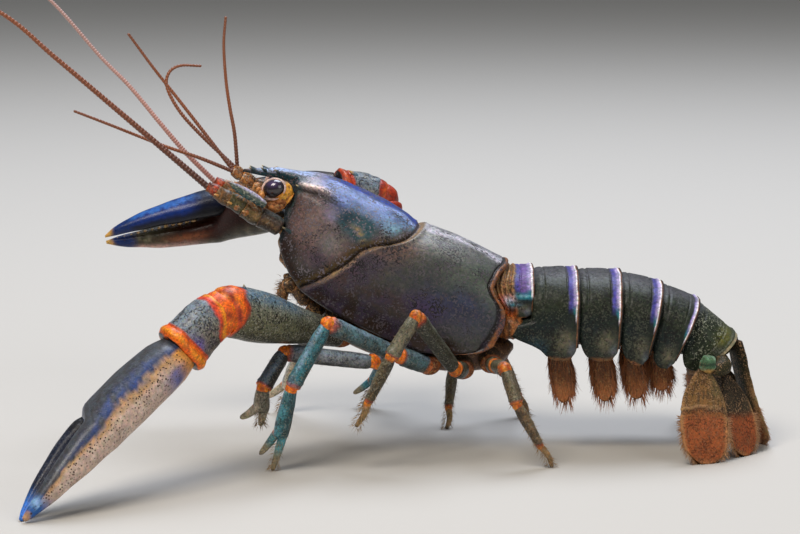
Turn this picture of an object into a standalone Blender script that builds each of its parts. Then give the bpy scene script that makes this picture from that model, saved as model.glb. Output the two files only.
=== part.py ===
"""A still, life-size model of a freshwater crayfish, Cherax alyciae, walking on a floor.

The head points to -X, +Z is up and the animal's left side faces -Y. The shapes are worked out in
millimetres in a modelling frame whose floor is z = 0, and become metres when a mesh is made.
Each shell plate, limb segment, feeler and tail blade is its own object, 0.3 mm from its neighbours.
"""

import math

import bmesh
import bpy
import numpy as np

MM = 0.001
GAP = 0.3
CENTRE_X, CENTRE_Y = -15.2, -11.8  # modelling-frame point that becomes the origin

# Head and thorax: one pitched frame, s runs back from the rostrum's tip and h points to its back.
ROSTRUM_TIP = np.array((-24.8, 0.0, 44.7))
PITCH = math.radians(25.0)
AXIS = np.array((math.cos(PITCH), 0.0, -math.sin(PITCH)))
BACK = np.array((math.sin(PITCH), 0.0, math.cos(PITCH)))
SIDE = np.array((0.0, 1.0, 0.0))

SHELL_TOP = ((0, 0), (3, 1.4), (6.8, 3.0), (11.7, 4.4), (16.3, 4.9), (21, 4.9), (25.8, 4.5), (29.3, 4.0),
             (31.7, 4.3), (37.4, 4.6), (44.5, 4.3), (48, 4.0))
SHELL_LOW = ((0, -0.6), (3, 0.2), (6.8, 1.2), (8, 0.3), (9, -4.4), (10, -7.8), (13.1, -11.2), (16.3, -12.9),
             (20, -13.5), (26, -13.9), (36, -13.7), (41.6, -11.9), (45.3, -10.2), (48, -7.6))
SHELL_BELLY = ((0, -0.3), (3, 0.5), (6.8, 1.5), (8, 0.7), (9, -3.7), (10, -7.0), (13.1, -10.3), (16.3, -12.0),
               (20, -12.3), (24, -11.4), (34, -11.0), (41, -8.8), (45, -7.0), (48, -5.2))
SHELL_WIDE = ((0, -0.2), (5, 1.7), (8, 1.8), (10, -0.6), (14, -2.4), (20, -4.0), (48, -4.0))
SHELL_HALF_WIDTH = ((0, 0.3), (2, 0.9), (5, 1.9), (8, 2.8), (9, 4.3), (10, 5.7), (12, 7.0), (16, 8.6),
                    (20, 9.5), (26, 10.2), (33, 10.6), (40, 10.4), (44.5, 9.9), (48, 9.4))
SHELL_LOW_WIDTH = ((0, 0.22), (2, 0.7), (5, 1.4), (8, 2.2), (10, 4.2), (13, 5.6), (16, 6.9), (20, 7.9),
                   (26, 8.6), (35, 8.9), (42, 8.8), (48, 8.4))
# The cervical groove and the rear edge of the shell, as s for each height h.
GROOVE = ((-14.0, 15.0), (-12.5, 15.9), (-10.5, 17.6), (-7.3, 19.8), (-5.3, 21.1), (-3.2, 21.9), (-1.4, 23.4),
          (0.3, 26.0), (2.1, 28.0), (4.2, 29.3))
REAR_EDGE = ((-14.0, 40.0), (-11.7, 41.8), (-9.8, 45.3), (-7.7, 47.2), (-4.6, 47.4), (-1.9, 46.4),
             (-0.5, 44.2),
             (0.7, 43.2), (2.8, 43.4), (4.4, 44.5))
GROOVE_DEPTH = 0.35

# Belly segments: top point (x, z) and tilt of each dividing plane, front to back, in degrees.
SOMITE_PLANES = ((17.7, 29.2, 2), (21.3, 29.0, 2), (28.3, 28.7, 2), (35.2, 28.3, 4), (41.9, 26.5, 14),
                 (47.8, 23.8, 26), (53.8, 18.2, 50))
SOMITE_DEPTH = (7.3, 13.6, 13.3, 12.8, 11.6, 9.4)
SOMITE_HALF_WIDTH = (7.6, 9.2, 9.2, 8.9, 8.3, 7.0)
SOMITE_ROOF = (5.6, 9.4, 9.3, 9.0, 8.0, 6.6)  # depth of the soft underside below the top
LOBE_SWEEP = 3.6  # how far the second side plate reaches forwards
LOBE_SWEEP_HEIGHTS = ((15.0, -0.5), (17.0, 0.0), (18.4, 0.7), (19.8, 1.0), (20.8, 0.7), (21.5, 0.0),
                      (29.0, 0.0))
LOBE = ((0, 0.76), (0.25, 0.95), (0.6, 1.0), (0.85, 0.98), (1, 0.84))  # side plate depth along a segment

# Walking legs: hip, elbow of the thigh, knee, ankle and toe points for the left side, then the right.
HIPS = {1: (-9.4, 7.0, 19.0), 2: (-2.4, 7.0, 15.9), 3: (4.7, 7.0, 14.0), 4: (10.0, 7.0, 13.3),
        5: (14.5, 6.5, 14.2)}
LEG_JOINTS = {
    ("left", 2): ((-4.2, -9.8, 15.2), (-18.0, -14.0, 17.6), (-21.2, -17.5, 12.6), (-21.6, -17.0, 6.6)),
    ("left", 3): ((-0.3, -11.0, 16.6), (-11.1, -20.0, 23.2), (-16.6, -21.0, 13.3), (-19.7, -19.0, 0.0)),
    ("left", 4): ((8.6, -10.2, 14.2), (2.4, -20.0, 24.3), (-1.4, -21.0, 18.2), (-6.8, -19.5, 7.0)),
    ("left", 5): ((15.0, -10.2, 14.7), (16.2, -17.5, 15.6), (18.0, -19.0, 10.4), (23.6, -16.8, 0.0)),
    ("right", 2): ((-5.0, 10.5, 15.6), (-13.4, 17.5, 15.6), (-17.4, 21.5, 10.0), (-20.5, 23.0, 0.0)),
    ("right", 3): ((3.2, 12.0, 15.6), (0.8, 20.0, 17.6), (-2.1, 25.6, 9.8), (-6.4, 27.0, 0.0)),
    ("right", 4): ((9.2, 10.6, 14.4), (8.2, 16.6, 16.4), (8.8, 15.4, 9.0), (7.7, 10.0, 0.0)),
    ("right", 5): ((15.0, 10.2, 14.7), (15.6, 15.8, 16.0), (17.3, 18.6, 10.2), (21.7, 20.0, 0.0)),
}
LEG_GIRTH = {2: 1.0, 3: 1.0, 4: 0.95, 5: 0.9}
PINCER_SPREAD = {2: 3.3, 3: 2.5}  # how far apart the tips of a small pincer stand
TOE_FLAT = 0.32

# Claw arms: end of the short first piece, elbow, wrist, claw tip, and the way the claw's back faces.
ARM_JOINTS = {
    "left": ((-13.5, -10.5, 20.6), (-27.3, -25.2, 26.5), (-33.2, -28.4, 20.3), (-53.7, -50.0, 0.35)),
    "right": ((-9.8, 13.0, 21.0), (-0.4, 22.3, 38.4), (-10.5, 19.0, 38.5), (-48.6, 13.0, 31.5)),
}
CLAW_BACK = {"left": (-0.57, -0.18, 0.80), "right": (-0.23, 0.88, 0.41)}
ELBOW_CUT = {"left": 3.5, "right": 7.0}
ELBOW_RADII = {"left": (3.5, 3.3), "right": (2.85, 2.5)}  # beside the bend and in its middle
WRIST_RADII = {"left": 4.0, "right": 3.3}  # at the flared end that carries the claw
# Claw outlines along its length: half width, half depth and offset towards the moving finger.
CLAW_ARCH = {"left": 0.9, "right": 0.3}
PALM = ((0, 3.4, 3.1, 0), (0.08, 4.2, 3.7, 0.05), (0.2, 4.6, 3.9, 0.1), (0.35, 4.8, 3.9, 0.15),
        (0.5, 4.6, 3.5, 0.15),
        (0.51, 2.35, 3.05, -2.25), (0.63, 2.1, 2.7, -2.15), (0.76, 1.75, 2.1, -1.9), (0.88, 1.2, 1.4, -1.45),
        (0.96, 0.7, 0.75, -1.0), (1.0, 0.32, 0.32, -0.75))
FINGER = ((0.525, 2.0, 2.7, 2.6), (0.63, 1.85, 2.5, 2.5), (0.76, 1.55, 1.95, 2.2), (0.88, 1.1, 1.25, 1.6),
          (0.96, 0.65, 0.65, 0.95), (1.0, 0.25, 0.25, 0.4))

# Feelers: points along each, left then right, starting at the tip of the stalk that carries them.
ANTENNA_STALK = {
    "left": ((-19.1, 5.0, 35.95), (-21.9, 5.2, 37.5), (-30.1, 6.0, 42.5)),
    "right": ((-19.1, 5.0, 35.95), (-21.9, 5.2, 37.2), (-29.8, 6.0, 41.8)),
}
ANTENNA_STALK_RADII = (1.6, 1.4, 0.95)
ANTENNA_SCALE = ((-21.1, 7.0, 39.7), (-27.2, 7.9, 43.6))
ANTENNA_SCALE_HALF_WIDTH = 0.9
ANTENNA_PATH = {
    "left": ((-30.3, -6.0, 42.6), (-37.1, -7.6, 48.8), (-44.8, -10.0, 55.9), (-52.9, -12.3, 63.3),
             (-60.8, -14.0, 70.2), (-74.0, -19.0, 77.4), (-89.0, -27.0, 80.0)),
    "right": ((-30.0, 6.0, 41.9), (-34.9, 6.9, 46.7), (-38.8, 8.0, 51.1), (-43.8, 9.6, 56.9),
              (-48.7, 11.0, 61.7),
              (-56.9, 13.0, 70.7), (-67.5, 18.0, 78.5), (-79.0, 25.5, 84.0)),
}
ANTENNA_RADIUS = {"left": (0.56, 0.25), "right": (0.44, 0.25)}
ANTENNULE_STALK = ((-18.5, 1.8, 39.9), (-23.5, 2.0, 42.2), (-26.6, 2.3, 44.6))
ANTENNULE_RADII = (1.0, 0.85, 0.65)
ANTENNULE_PATHS = {
    "left": (((-26.2, -2.5, 44.4), (-31.5, -4.0, 46.8), (-37.5, -5.0, 49.0), (-45.6, -7.0, 52.5),
              (-50.4, -8.0, 54.5)),
             ((-26.2, -2.2, 44.4), (-30.4, -2.4, 50.0), (-34.8, -3.0, 55.9), (-38.6, -4.0, 61.0),
              (-42.2, -5.0, 66.2))),
    "right": (((-26.0, 2.3, 44.4), (-26.4, 2.4, 49.9), (-27.1, 2.5, 54.0), (-27.7, 2.6, 58.5),
               (-28.0, 2.8, 64.1),
               (-27.7, 3.4, 68.3)),
              ((-26.2, 2.4, 44.4), (-32.1, 3.4, 49.9), (-35.4, 4.0, 53.6), (-37.3, 4.5, 57.3),
               (-36.9, 5.0, 59.6),
               (-35.1, 5.5, 60.6), (-32.1, 6.0, 60.5))),
}
ANTENNULE_FEELER_RADIUS = (0.34, 0.25)

MOUTH_LEG = ((-13.3, 2.8, 21.4), (-15.4, 2.7, 23.4), (-17.4, 2.6, 26.4), (-19.6, 2.8, 26.0),
             (-19.4, 3.0, 22.8))
EYE_CENTRE = (5.4, 5.0, -0.1)  # s, y, h in the shell's frame
EYE_RADIUS = 1.65
SPINE_RISE = 0.12  # how much the head's spines rise for their reach

# Tail fan: root, tip, way across, half width, and how far the middle bows out, for the left side.
TELSON = dict(root=(53.3, 0.0, 17.0), tip=(58.8, 0.0, -0.1), across=(0, 1, 0), half_width=4.4, bow=0.6)
OUTER_BLADE = dict(root=(48.0, -9.6, 14.1), tip=(48.2, -14.6, -0.3), across=(0.93, 0.36, 0),
                   half_width=4.6, bow=-0.7)
INNER_BLADE = dict(root=(51.6, -5.6, 12.2), tip=(54.6, -9.2, -0.1), across=(0.75, 0.66, 0), half_width=3.4,
                   bow=-0.5)
RIGHT_INNER_BACK = 1.6  # how much further back the right inner blade ends
RIGHT_OUTER_BACK = (1.8, 3.4)  # how much further back the right outer blade starts and ends
RIGHT_OUTER_ACROSS = (0.62, -0.78, 0)  # and how it is turned, more edge-on than the left one
FAN_KNUCKLE = ((51.4, 6.2, 14.1), (50.9, 8.2, 14.2), (48.9, 9.8,
                                                      13.8))  # from the sixth ring to the outer blade
FAN_KNUCKLE_RADII = (1.25, 1.2, 0.9)
BLADE_ROUNDING = 0.08  # how much shorter a blade is at its sides than along its middle
BLADE_THICKNESS = 0.75

# The soft floor of the belly segments, as x, z and half width, and the swimmerets, as x and lower end z.
TAIL_FLOOR = ((19.0, 18.4, 4.6), (22, 18.0, 5.6), (28, 17.7, 6.0), (34.5, 17.3, 6.0), (40, 16.2, 5.6),
              (44.2, 14.4, 4.6))
SWIMMERETS = ((25.0, 7.8), (31.6, 8.0), (36.6, 8.4), (40.6, 9.8))

COLOURS = {
    "shell": (0.20, 0.17, 0.18), "belly_ring": (0.10, 0.11, 0.10), "joint_orange": (0.75, 0.20, 0.04),
    "leg_teal": (0.16, 0.27, 0.27), "claw_blue": (0.05, 0.12, 0.35), "claw_pale": (0.55, 0.36, 0.27),
    "feeler": (0.40, 0.16, 0.06), "eye": (0.02, 0.01, 0.015), "fan": (0.50, 0.20, 0.11),
    "soft_underside": (0.45, 0.22, 0.10), "antenna_pale": (0.55, 0.38, 0.32),
}


def clear_scene():
    for thing in list(bpy.data.objects):
        bpy.data.objects.remove(thing, do_unlink=True)


def material(name, roughness=0.45):
    """The plain finish of one colour name, made once."""
    found = bpy.data.materials.get(name)
    if found:
        return found
    made = bpy.data.materials.new(name)
    made.use_nodes = True
    shader = made.node_tree.nodes["Principled BSDF"]
    shader.inputs["Base Color"].default_value = (*COLOURS[name], 1.0)
    shader.inputs["Roughness"].default_value = roughness
    shader.inputs["Metallic"].default_value = 0.0
    return made


def collection(name):
    found = bpy.data.collections.get(name)
    if not found:
        found = bpy.data.collections.new(name)
        bpy.context.scene.collection.children.link(found)
    return found


def unit(vector):
    vector = np.asarray(vector, float)
    return vector / np.linalg.norm(vector)


def square_to(vector, direction):
    """The part of vector at right angles to direction, as a unit vector."""
    vector = np.asarray(vector, float)
    return unit(vector - np.dot(vector, direction) * direction)


def side_of(side, point):
    """A point given for the left or right by its distance from the middle plane."""
    x, y, z = point
    return np.array((x, -abs(y) if side == "left" else abs(y), z))


def mirrored(blade, side, root_back, tip_back):
    """A tail blade's sizes, given for the left, for either side; the right one stands further back."""
    turned = dict(blade)
    if side == "right":
        for key, back in (("root", root_back), ("tip", tip_back), ("across", 0.0)):
            x, y, z = blade[key]
            turned[key] = (x + back, -y, z)
        if blade is OUTER_BLADE:
            turned["across"] = RIGHT_OUTER_ACROSS
    return turned


def smooth(knots, at):
    """The value at a place on the smooth line through (place, value) knots, with no overshoot."""
    x, y = np.array(knots, float).T
    step = np.diff(x)
    slope = np.diff(y) / step
    tangent = np.concatenate(([slope[0]], np.zeros(len(x) - 2), [slope[-1]]))
    for i in range(1, len(x) - 1):
        if slope[i - 1] * slope[i] > 0:
            a, b = 2 * step[i] + step[i - 1], step[i] + 2 * step[i - 1]
            tangent[i] = (a + b) / (a / slope[i - 1] + b / slope[i])
    at = np.clip(at, x[0], x[-1])
    i = np.clip(np.searchsorted(x, at) - 1, 0, len(x) - 2)
    t = (at - x[i]) / step[i]
    rise = (2 * t**3 - 3 * t**2 + 1) * y[i] + (3 * t**2 - 2 * t**3) * y[i + 1]
    return rise + step[i] * ((t**3 - 2 * t**2 + t) * tangent[i] + (t**3 - t**2) * tangent[i + 1])


def smooth_path(points, count):
    """Evenly numbered points on the smooth curve through the given ones."""
    points = np.array(points, float)
    before = 2 * points[0] - points[1]
    after = 2 * points[-1] - points[-2]
    run = np.vstack((before, points, after))
    path = []
    for place in np.linspace(0, len(points) - 1, count):
        i = min(int(place), len(points) - 2)
        t = place - i
        a, b, c, d = run[i:i + 4]
        bend = (2 * a - 5 * b + 4 * c - d) * t**2 + (3 * b - a - 3 * c + d) * t**3
        path.append(0.5 * (2 * b + (c - a) * t + bend))
    return np.array(path)


def mesh_object(name, points, faces, colour, where="crayfish"):
    """A mesh object from points in the modelling frame, with its faces pointing out."""
    origin = np.array((CENTRE_X, CENTRE_Y, 0.0))
    mesh = bpy.data.meshes.new(name)
    mesh.from_pydata(((np.asarray(points, float) - origin) * MM).tolist(), [],
                     [list(map(int, f)) for f in faces])
    work = bmesh.new()
    work.from_mesh(mesh)
    bmesh.ops.recalc_face_normals(work, faces=work.faces)
    if work.calc_volume(signed=True) < 0:
        bmesh.ops.reverse_faces(work, faces=work.faces)
    work.to_mesh(mesh)
    work.free()
    mesh.shade_smooth()
    mesh.set_sharp_from_angle(angle=math.radians(40))
    mesh.materials.append(material(colour))
    made = bpy.data.objects.new(name, mesh)
    collection(where).objects.link(made)
    return made


def side_faces(rings, around):
    """The quads between successive closed rings of the same number of points."""
    faces = []
    for r in range(rings - 1):
        for k in range(around):
            n = (k + 1) % around
            faces.append((r * around + k, r * around + n, (r + 1) * around + n, (r + 1) * around + k))
    return faces


def loft(name, rings, colour, where="crayfish"):
    """A closed solid through rings of points, with a flat cap at each end."""
    rings = np.array(rings)
    count, around = rings.shape[:2]
    faces = side_faces(count, around)
    faces += [tuple(range(around)), tuple((count - 1) * around + k for k in range(around))]
    return mesh_object(name, rings.reshape(-1, 3), faces, colour, where)


def keep_largest(mesh):
    """Drops every closed surface of the mesh but the one with the most faces."""
    work = bmesh.new()
    work.from_mesh(mesh)
    left = set(work.faces)
    bodies = []
    while left:
        body, edge_of = set(), [left.pop()]
        while edge_of:
            face = edge_of.pop()
            body.add(face)
            for edge in face.edges:
                for other in edge.link_faces:
                    if other in left:
                        left.remove(other)
                        edge_of.append(other)
        bodies.append(body)
    bodies.sort(key=len)
    for body in bodies[:-1]:
        bmesh.ops.delete(work, geom=list(body), context="FACES")
    work.to_mesh(mesh)
    work.free()


def fuse(name, pieces, colour, solver="EXACT"):
    """One closed node from overlapping closed pieces."""
    body, others = pieces[0], pieces[1:]
    group = bpy.data.collections.new(name + "_pieces")
    bpy.context.scene.collection.children.link(group)
    for piece in others:
        for owner in list(piece.users_collection):
            owner.objects.unlink(piece)
        group.objects.link(piece)
    union = body.modifiers.new("union", "BOOLEAN")
    union.operation = "UNION"
    union.operand_type = "COLLECTION"
    union.collection = group
    union.solver = solver
    bpy.context.view_layer.update()
    graph = bpy.context.evaluated_depsgraph_get()
    mesh = bpy.data.meshes.new_from_object(body.evaluated_get(graph))
    for piece in list(others) + [body]:
        bpy.data.objects.remove(piece, do_unlink=True)
    bpy.data.collections.remove(group)
    keep_largest(mesh)
    mesh.materials.clear()
    mesh.materials.append(material(colour))
    mesh.name = name
    made = bpy.data.objects.new(name, mesh)
    collection("crayfish").objects.link(made)
    return made


def spine(base, tip, radius, sides=5):
    """A pointed spine as a closed cone, with its root at base."""
    base, tip = np.array(base, float), np.array(tip, float)
    direction = unit(tip - base)
    across = square_to((0.31, 0.87, 0.4), direction)
    other = np.cross(direction, across)
    angles = np.linspace(0, 2 * math.pi, sides, endpoint=False)
    foot = [base + radius * (math.cos(a) * across + math.sin(a) * other) for a in angles]
    faces = [tuple(range(sides))] + [(k, (k + 1) % sides, sides) for k in range(sides)]
    return mesh_object("spine", foot + [tip], faces, "shell", "pieces")


# Shell plates

ARCH_ANGLES = np.radians((0, 18, 36, 54, 72, 90))
FULLNESS = 0.88  # under 1 makes the arch of a plate squarer than an ellipse
HALF_POINTS = 13
AROUND = 2 * (HALF_POINTS - 1)


def plate_section(top, wide, low, belly, half_width, low_width, rim):
    """Half of an arched plate's section as (y, h): over the back, down the side and in to the middle."""
    y = half_width * np.sin(ARCH_ANGLES) ** FULLNESS
    h = wide + (top - wide) * np.cos(ARCH_ANGLES) ** FULLNESS
    level = math.asin(min(0.95, max(0.1, (belly - wide) / (low - wide))))
    turns = np.array((level / 2, level, (level + math.pi / 2) / 2, math.pi / 2))
    y = np.append(y, low_width + (half_width - low_width) * np.cos(turns))
    h = np.append(h, wide + (low - wide) * np.sin(turns))
    y = np.append(y, (low_width - rim, low_width - 1.2 * rim, 0.0))
    h = np.append(h, (low, belly, belly))
    return y, h


def closed_ring(half, mirror=(1, -1, 1)):
    """A full ring from its left half: top, left points, bottom, then their mirror images."""
    return np.vstack((half, (half[1:-1] * mirror)[::-1]))


def plate_caps(first):
    """Faces that close a plate's ring, whose points start at number first."""
    right = [first + (AROUND - k) % AROUND for k in range(HALF_POINTS)]
    left = [first + k for k in range(HALF_POINTS)]
    faces = [(left[0], left[1], right[1])]
    faces += [(left[k], left[k + 1], right[k + 1], right[k]) for k in range(1, 6)]
    faces.append((left[6], left[7], left[11], left[12], right[11], right[7], right[6]))
    faces.append(tuple(left[7:12]))
    faces.append(tuple(right[7:12]))
    return faces


def plate_solid(name, rings, colour, where="crayfish"):
    rings = np.array(rings)
    faces = side_faces(len(rings), AROUND) + plate_caps(0) + plate_caps((len(rings) - 1) * AROUND)
    return mesh_object(name, rings.reshape(-1, 3), faces, colour, where)


def shell_point(s, y, h):
    return ROSTRUM_TIP + s * AXIS + y * SIDE + h * BACK


def shell_section(s):
    low_width = smooth(SHELL_LOW_WIDTH, s)
    return plate_section(smooth(SHELL_TOP, s), smooth(SHELL_WIDE, s), smooth(SHELL_LOW, s),
                         smooth(SHELL_BELLY, s),
                         smooth(SHELL_HALF_WIDTH, s), low_width, min(0.9, 0.35 * low_width))


def shell_ring(places, sink=0.0):
    """A ring whose points each have their own s, drawn in towards the middle by sink."""
    half = []
    for k in range(HALF_POINTS):
        y, h = (part[k] for part in shell_section(places[k]))
        inward = sink / max(math.hypot(y, h + 4.0), 1.0)
        half.append(shell_point(places[k], -y * (1 - inward), h - (h + 4.0) * inward))
    return closed_ring(np.array(half))


def edge_places(edge, guess):
    """The s of every point of a half ring that follows an edge given as s for each h."""
    places = np.full(HALF_POINTS, float(guess))
    for _ in range(12):
        heights = [shell_section(places[k])[1][k] for k in range(HALF_POINTS)]
        places = 0.5 * places + 0.5 * np.array([smooth(edge, h) for h in heights])
    return places


def head():
    """The front of the shell with the rostrum, its spines and the mouth, up to the cervical groove."""
    groove = edge_places(GROOVE, 22) - GAP
    rings = [shell_ring(np.full(HALF_POINTS, s)) for s in (0, 1.5, 3.2, 5, 7, 8.2, 9, 9.8, 11.5, 13.5)]
    for t in (0.4, 0.8):
        rings.append(shell_ring(13.5 + t * (groove - 13.5)))
    rings.append(shell_ring(groove, GROOVE_DEPTH))
    pieces = [plate_solid("head", rings, "shell", "pieces")]
    for side in (-1, 1):
        for s, y, h, reach in ((1.8, 0.75, 0.5, 1.2), (3.6, 1.3, 1.3, 1.3), (5.6, 1.9, 2.0, 1.2),
                               (9.9, 4.9, 1.6, 1.4),
                               (10.9, 6.2, -5.2, 1.6)):
            root = shell_point(s, side * (y - 0.25), h)
            pieces.append(spine(root, shell_point(s - reach, side * (y + 0.45), h + SPINE_RISE * reach),
                                0.42))
    pieces.append(lump("mouth", shell_point(10.8, 0, -7.4), (2.4, 3.4, 2.6)))
    for side in (-1, 1):
        pieces.append(lump("jaw", shell_point(11.6, side * 1.9, -9.8), (2.0, 1.5, 1.7)))
    fuse("head", pieces, "shell")


def lump(name, centre, sizes, sides=10, rings=6):
    """A closed egg shape in the shell's frame, with half sizes along s, y and h."""
    points = []
    for polar in np.linspace(math.radians(12), math.radians(168), rings):
        ring = []
        for a in np.linspace(0, 2 * math.pi, sides, endpoint=False):
            offset = (math.cos(polar) * AXIS * sizes[0] + math.sin(polar) * math.cos(a) * SIDE * sizes[1]
                      + math.sin(polar) * math.sin(a) * BACK * sizes[2])
            ring.append(np.array(centre) + offset)
        points.append(ring)
    return loft(name, points, "shell", "pieces")


def thorax():
    """The rear of the shell, from the cervical groove to the edge over the belly segments."""
    groove = edge_places(GROOVE, 22) + 0.5 * GAP
    rear = edge_places(REAR_EDGE, 45)
    rings = [shell_ring(groove, GROOVE_DEPTH)]
    rings += [shell_ring(groove + t * (rear - groove)) for t in (0.06, 0.25, 0.45, 0.65, 0.82, 0.94, 1.0)]
    return plate_solid("thorax", rings, "shell")


def shell_rear(z):
    """Where along X the shell's rear face stands at height z."""
    edge = [shell_point(s, 0, h) for h, s in REAR_EDGE]
    return smooth([(point[2], point[0]) for point in edge], z)


def somite_ring(number, t):
    """A ring of belly segment number (1 to 6) at t along it, wider and taller at its rear edge.

    The front of the first one follows the rear face of the shell.
    """
    front, rear = (np.array(SOMITE_PLANES[number - 1 + k], float) for k in (0, 1))
    shift = 0.5 * GAP
    tilt = math.radians(front[2] + t * (rear[2] - front[2]))
    along = np.array((math.cos(tilt), 0, -math.sin(tilt)))
    down = np.array((-math.sin(tilt), 0, -math.cos(tilt)))
    top = front[:2] + t * (rear[:2] - front[:2])
    middle = np.array((top[0], 0, top[1])) + (shift * (1 - 2 * t)) * along
    step = 0.45 * (1 - smooth(((0, 0), (0.3, 0.75), (1, 1)), t))
    depth = SOMITE_DEPTH[number - 1]
    width = SOMITE_HALF_WIDTH[number - 1] - step
    low = depth * smooth(LOBE, t)
    y, h = plate_section(-step, -0.5 * depth, -low, -min(SOMITE_ROOF[number - 1], low - 0.7), width,
                         0.96 * width, 0.9)
    half = np.array([middle - y[k] * SIDE - h[k] * down for k in range(HALF_POINTS)])
    if number == 1 and t < 1:
        follow = 1 - t
        half[:, 0] += follow * (shell_rear(half[:, 2]) + 2 * GAP - middle[0])
    if number == 2:
        half[1:10, 0] -= LOBE_SWEEP * max(0.0, 1 - 2.5 * t) * smooth(LOBE_SWEEP_HEIGHTS, half[1:10, 2])
    return closed_ring(half)


def somite(number):
    rings = [somite_ring(number, t) for t in (0, 0.22, 0.5, 0.8, 0.93, 1)]
    return plate_solid(f"tail_segment_{number}", rings, "belly_ring")


# Limbs


def section_offsets(side, up, half_width, half_depth, around, squareness=1.0):
    angles = np.linspace(0, 2 * math.pi, around, endpoint=False) + math.pi / around
    c, s = np.cos(angles), np.sin(angles)
    return (half_width * np.sign(c) * abs(c) ** squareness)[:, None] * side + (
        half_depth * np.sign(s) * abs(s) ** squareness)[:, None] * up


def limb_rings(points, radii, hint, start_face=None, end_face=None, bulge=1.0, around=8, flat_start=0.5,
               flat_end=0.5):
    """Rings of a jointed tube with mitred bends, its end faces square to the given directions."""
    points = np.array(points, float)
    runs = [unit(points[i + 1] - points[i]) for i in range(len(points) - 1)]
    faces = [unit(start_face) if start_face is not None else runs[0]]
    faces += [unit(runs[i] + runs[i + 1]) for i in range(len(runs) - 1)]
    faces.append(unit(end_face) if end_face is not None else runs[-1])
    rings = []
    for i, run in enumerate(runs):
        side = square_to(hint, run)
        up = np.cross(run, side)
        first = points[i] + (run * flat_start * GAP / np.dot(run, faces[0]) if i == 0 else 0)
        last = points[i + 1] - (run * flat_end * GAP / np.dot(run, faces[-1]) if i == len(runs) - 1 else 0)
        stations = (0, 0.2, 0.5, 0.8, 1) if i == len(runs) - 1 else (0, 0.5)
        for t in stations:
            swell = 1 + (bulge - 1) * math.sin(math.pi * t)
            radius = (radii[i] + t * (radii[i + 1] - radii[i])) * swell
            offsets = section_offsets(side, up, radius, 1.12 * radius, around)
            shear = -(1 - t) * (offsets @ faces[i]) / np.dot(run, faces[i])
            shear -= t * (offsets @ faces[i + 1]) / np.dot(run, faces[i + 1])
            rings.append(first + t * (last - first) + offsets + shear[:, None] * run)
    return rings


def leg_plane(joints):
    """The way square to the plane that a leg bends in."""
    return unit(np.cross(np.subtract(joints[2], joints[1]), np.subtract(joints[3], joints[2])))


def round_bend(before, bend, after, cut):
    """Three points that round off a sharp bend: where it begins, its middle and where it ends."""
    start = bend + cut * unit(before - bend)
    end = bend + cut * unit(after - bend)
    return start, 0.25 * start + 0.5 * bend + 0.25 * end, end


def coxa(side, number):
    """Start, end and radius of the stub of the body that a limb grows from."""
    hip = side_of(side, HIPS[number])
    inner = np.array((hip[0] - 0.5, hip[1] * 0.3, hip[2] + 1.2))
    return inner, hip, 2.4 if number == 1 else 1.75


def leg(side, number):
    """One walking leg in three nodes: thigh, shin and foot. Legs 2 and 3 end in small pincers."""
    inner, hip, _ = coxa(side, number)
    joints = (hip, *map(np.array, LEG_JOINTS[side, number]))
    girth = LEG_GIRTH[number]
    hint = leg_plane(joints)
    knee_face = unit(joints[2] - joints[1]) + unit(joints[3] - joints[2])
    ankle_face = unit(joints[3] - joints[2]) + unit(joints[4] - joints[3])
    name = f"leg_{number}_{side}"
    loft(name + "_thigh", limb_rings(joints[:3], (1.35 * girth, 1.2 * girth, 1.1 * girth), hint, hip - inner,
                                     knee_face, 1.06), "leg_teal")
    loft(name + "_shin", limb_rings(joints[2:4], (1.1 * girth, 1.05 * girth), hint, knee_face, ankle_face,
                                    1.08),
         "leg_teal")
    ankle, toe = joints[3], joints[4]
    lifted = toe[2] > 1
    down = unit(toe - ankle) if lifted else np.array((0, 0, -1.0))
    if number > 3:
        bend = ankle + 0.66 * (toe - ankle)
        rings = limb_rings((ankle, bend, toe), (1.05 * girth, 0.7 * girth, TOE_FLAT), hint, ankle_face, down,
                           1.0, 8, 0.5, 0)
        loft(name + "_foot", rings, "leg_teal")
        return
    palm = ankle + 0.55 * (toe - ankle)
    spread = square_to((-1.0, 0.2, 0), unit(toe - ankle))
    pieces = [loft("palm", limb_rings((ankle, palm), (1.05 * girth, 1.1 * girth), hint, ankle_face, None,
                                      1.08),
                   "leg_teal", "pieces")]
    root = palm - 0.6 * unit(toe - ankle)
    pieces.append(loft("fixed", limb_rings((root - 0.45 * spread, palm - 0.5 * spread, toe),
                                           (0.6, 0.6, TOE_FLAT), hint,
                                           None, down, 1.0, 6, 0, 0), "leg_teal", "pieces"))
    tip = toe + PINCER_SPREAD[number] * spread - 0.14 * (toe - ankle)
    pieces.append(loft("mover", limb_rings((root + 0.4 * spread, palm + 0.6 * spread, tip),
                                           (0.6, 0.55, 0.28), hint,
                                           None, None, 1.0, 6, 0, 0), "leg_teal", "pieces"))
    fuse(name + "_foot", pieces, "leg_teal")


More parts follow.
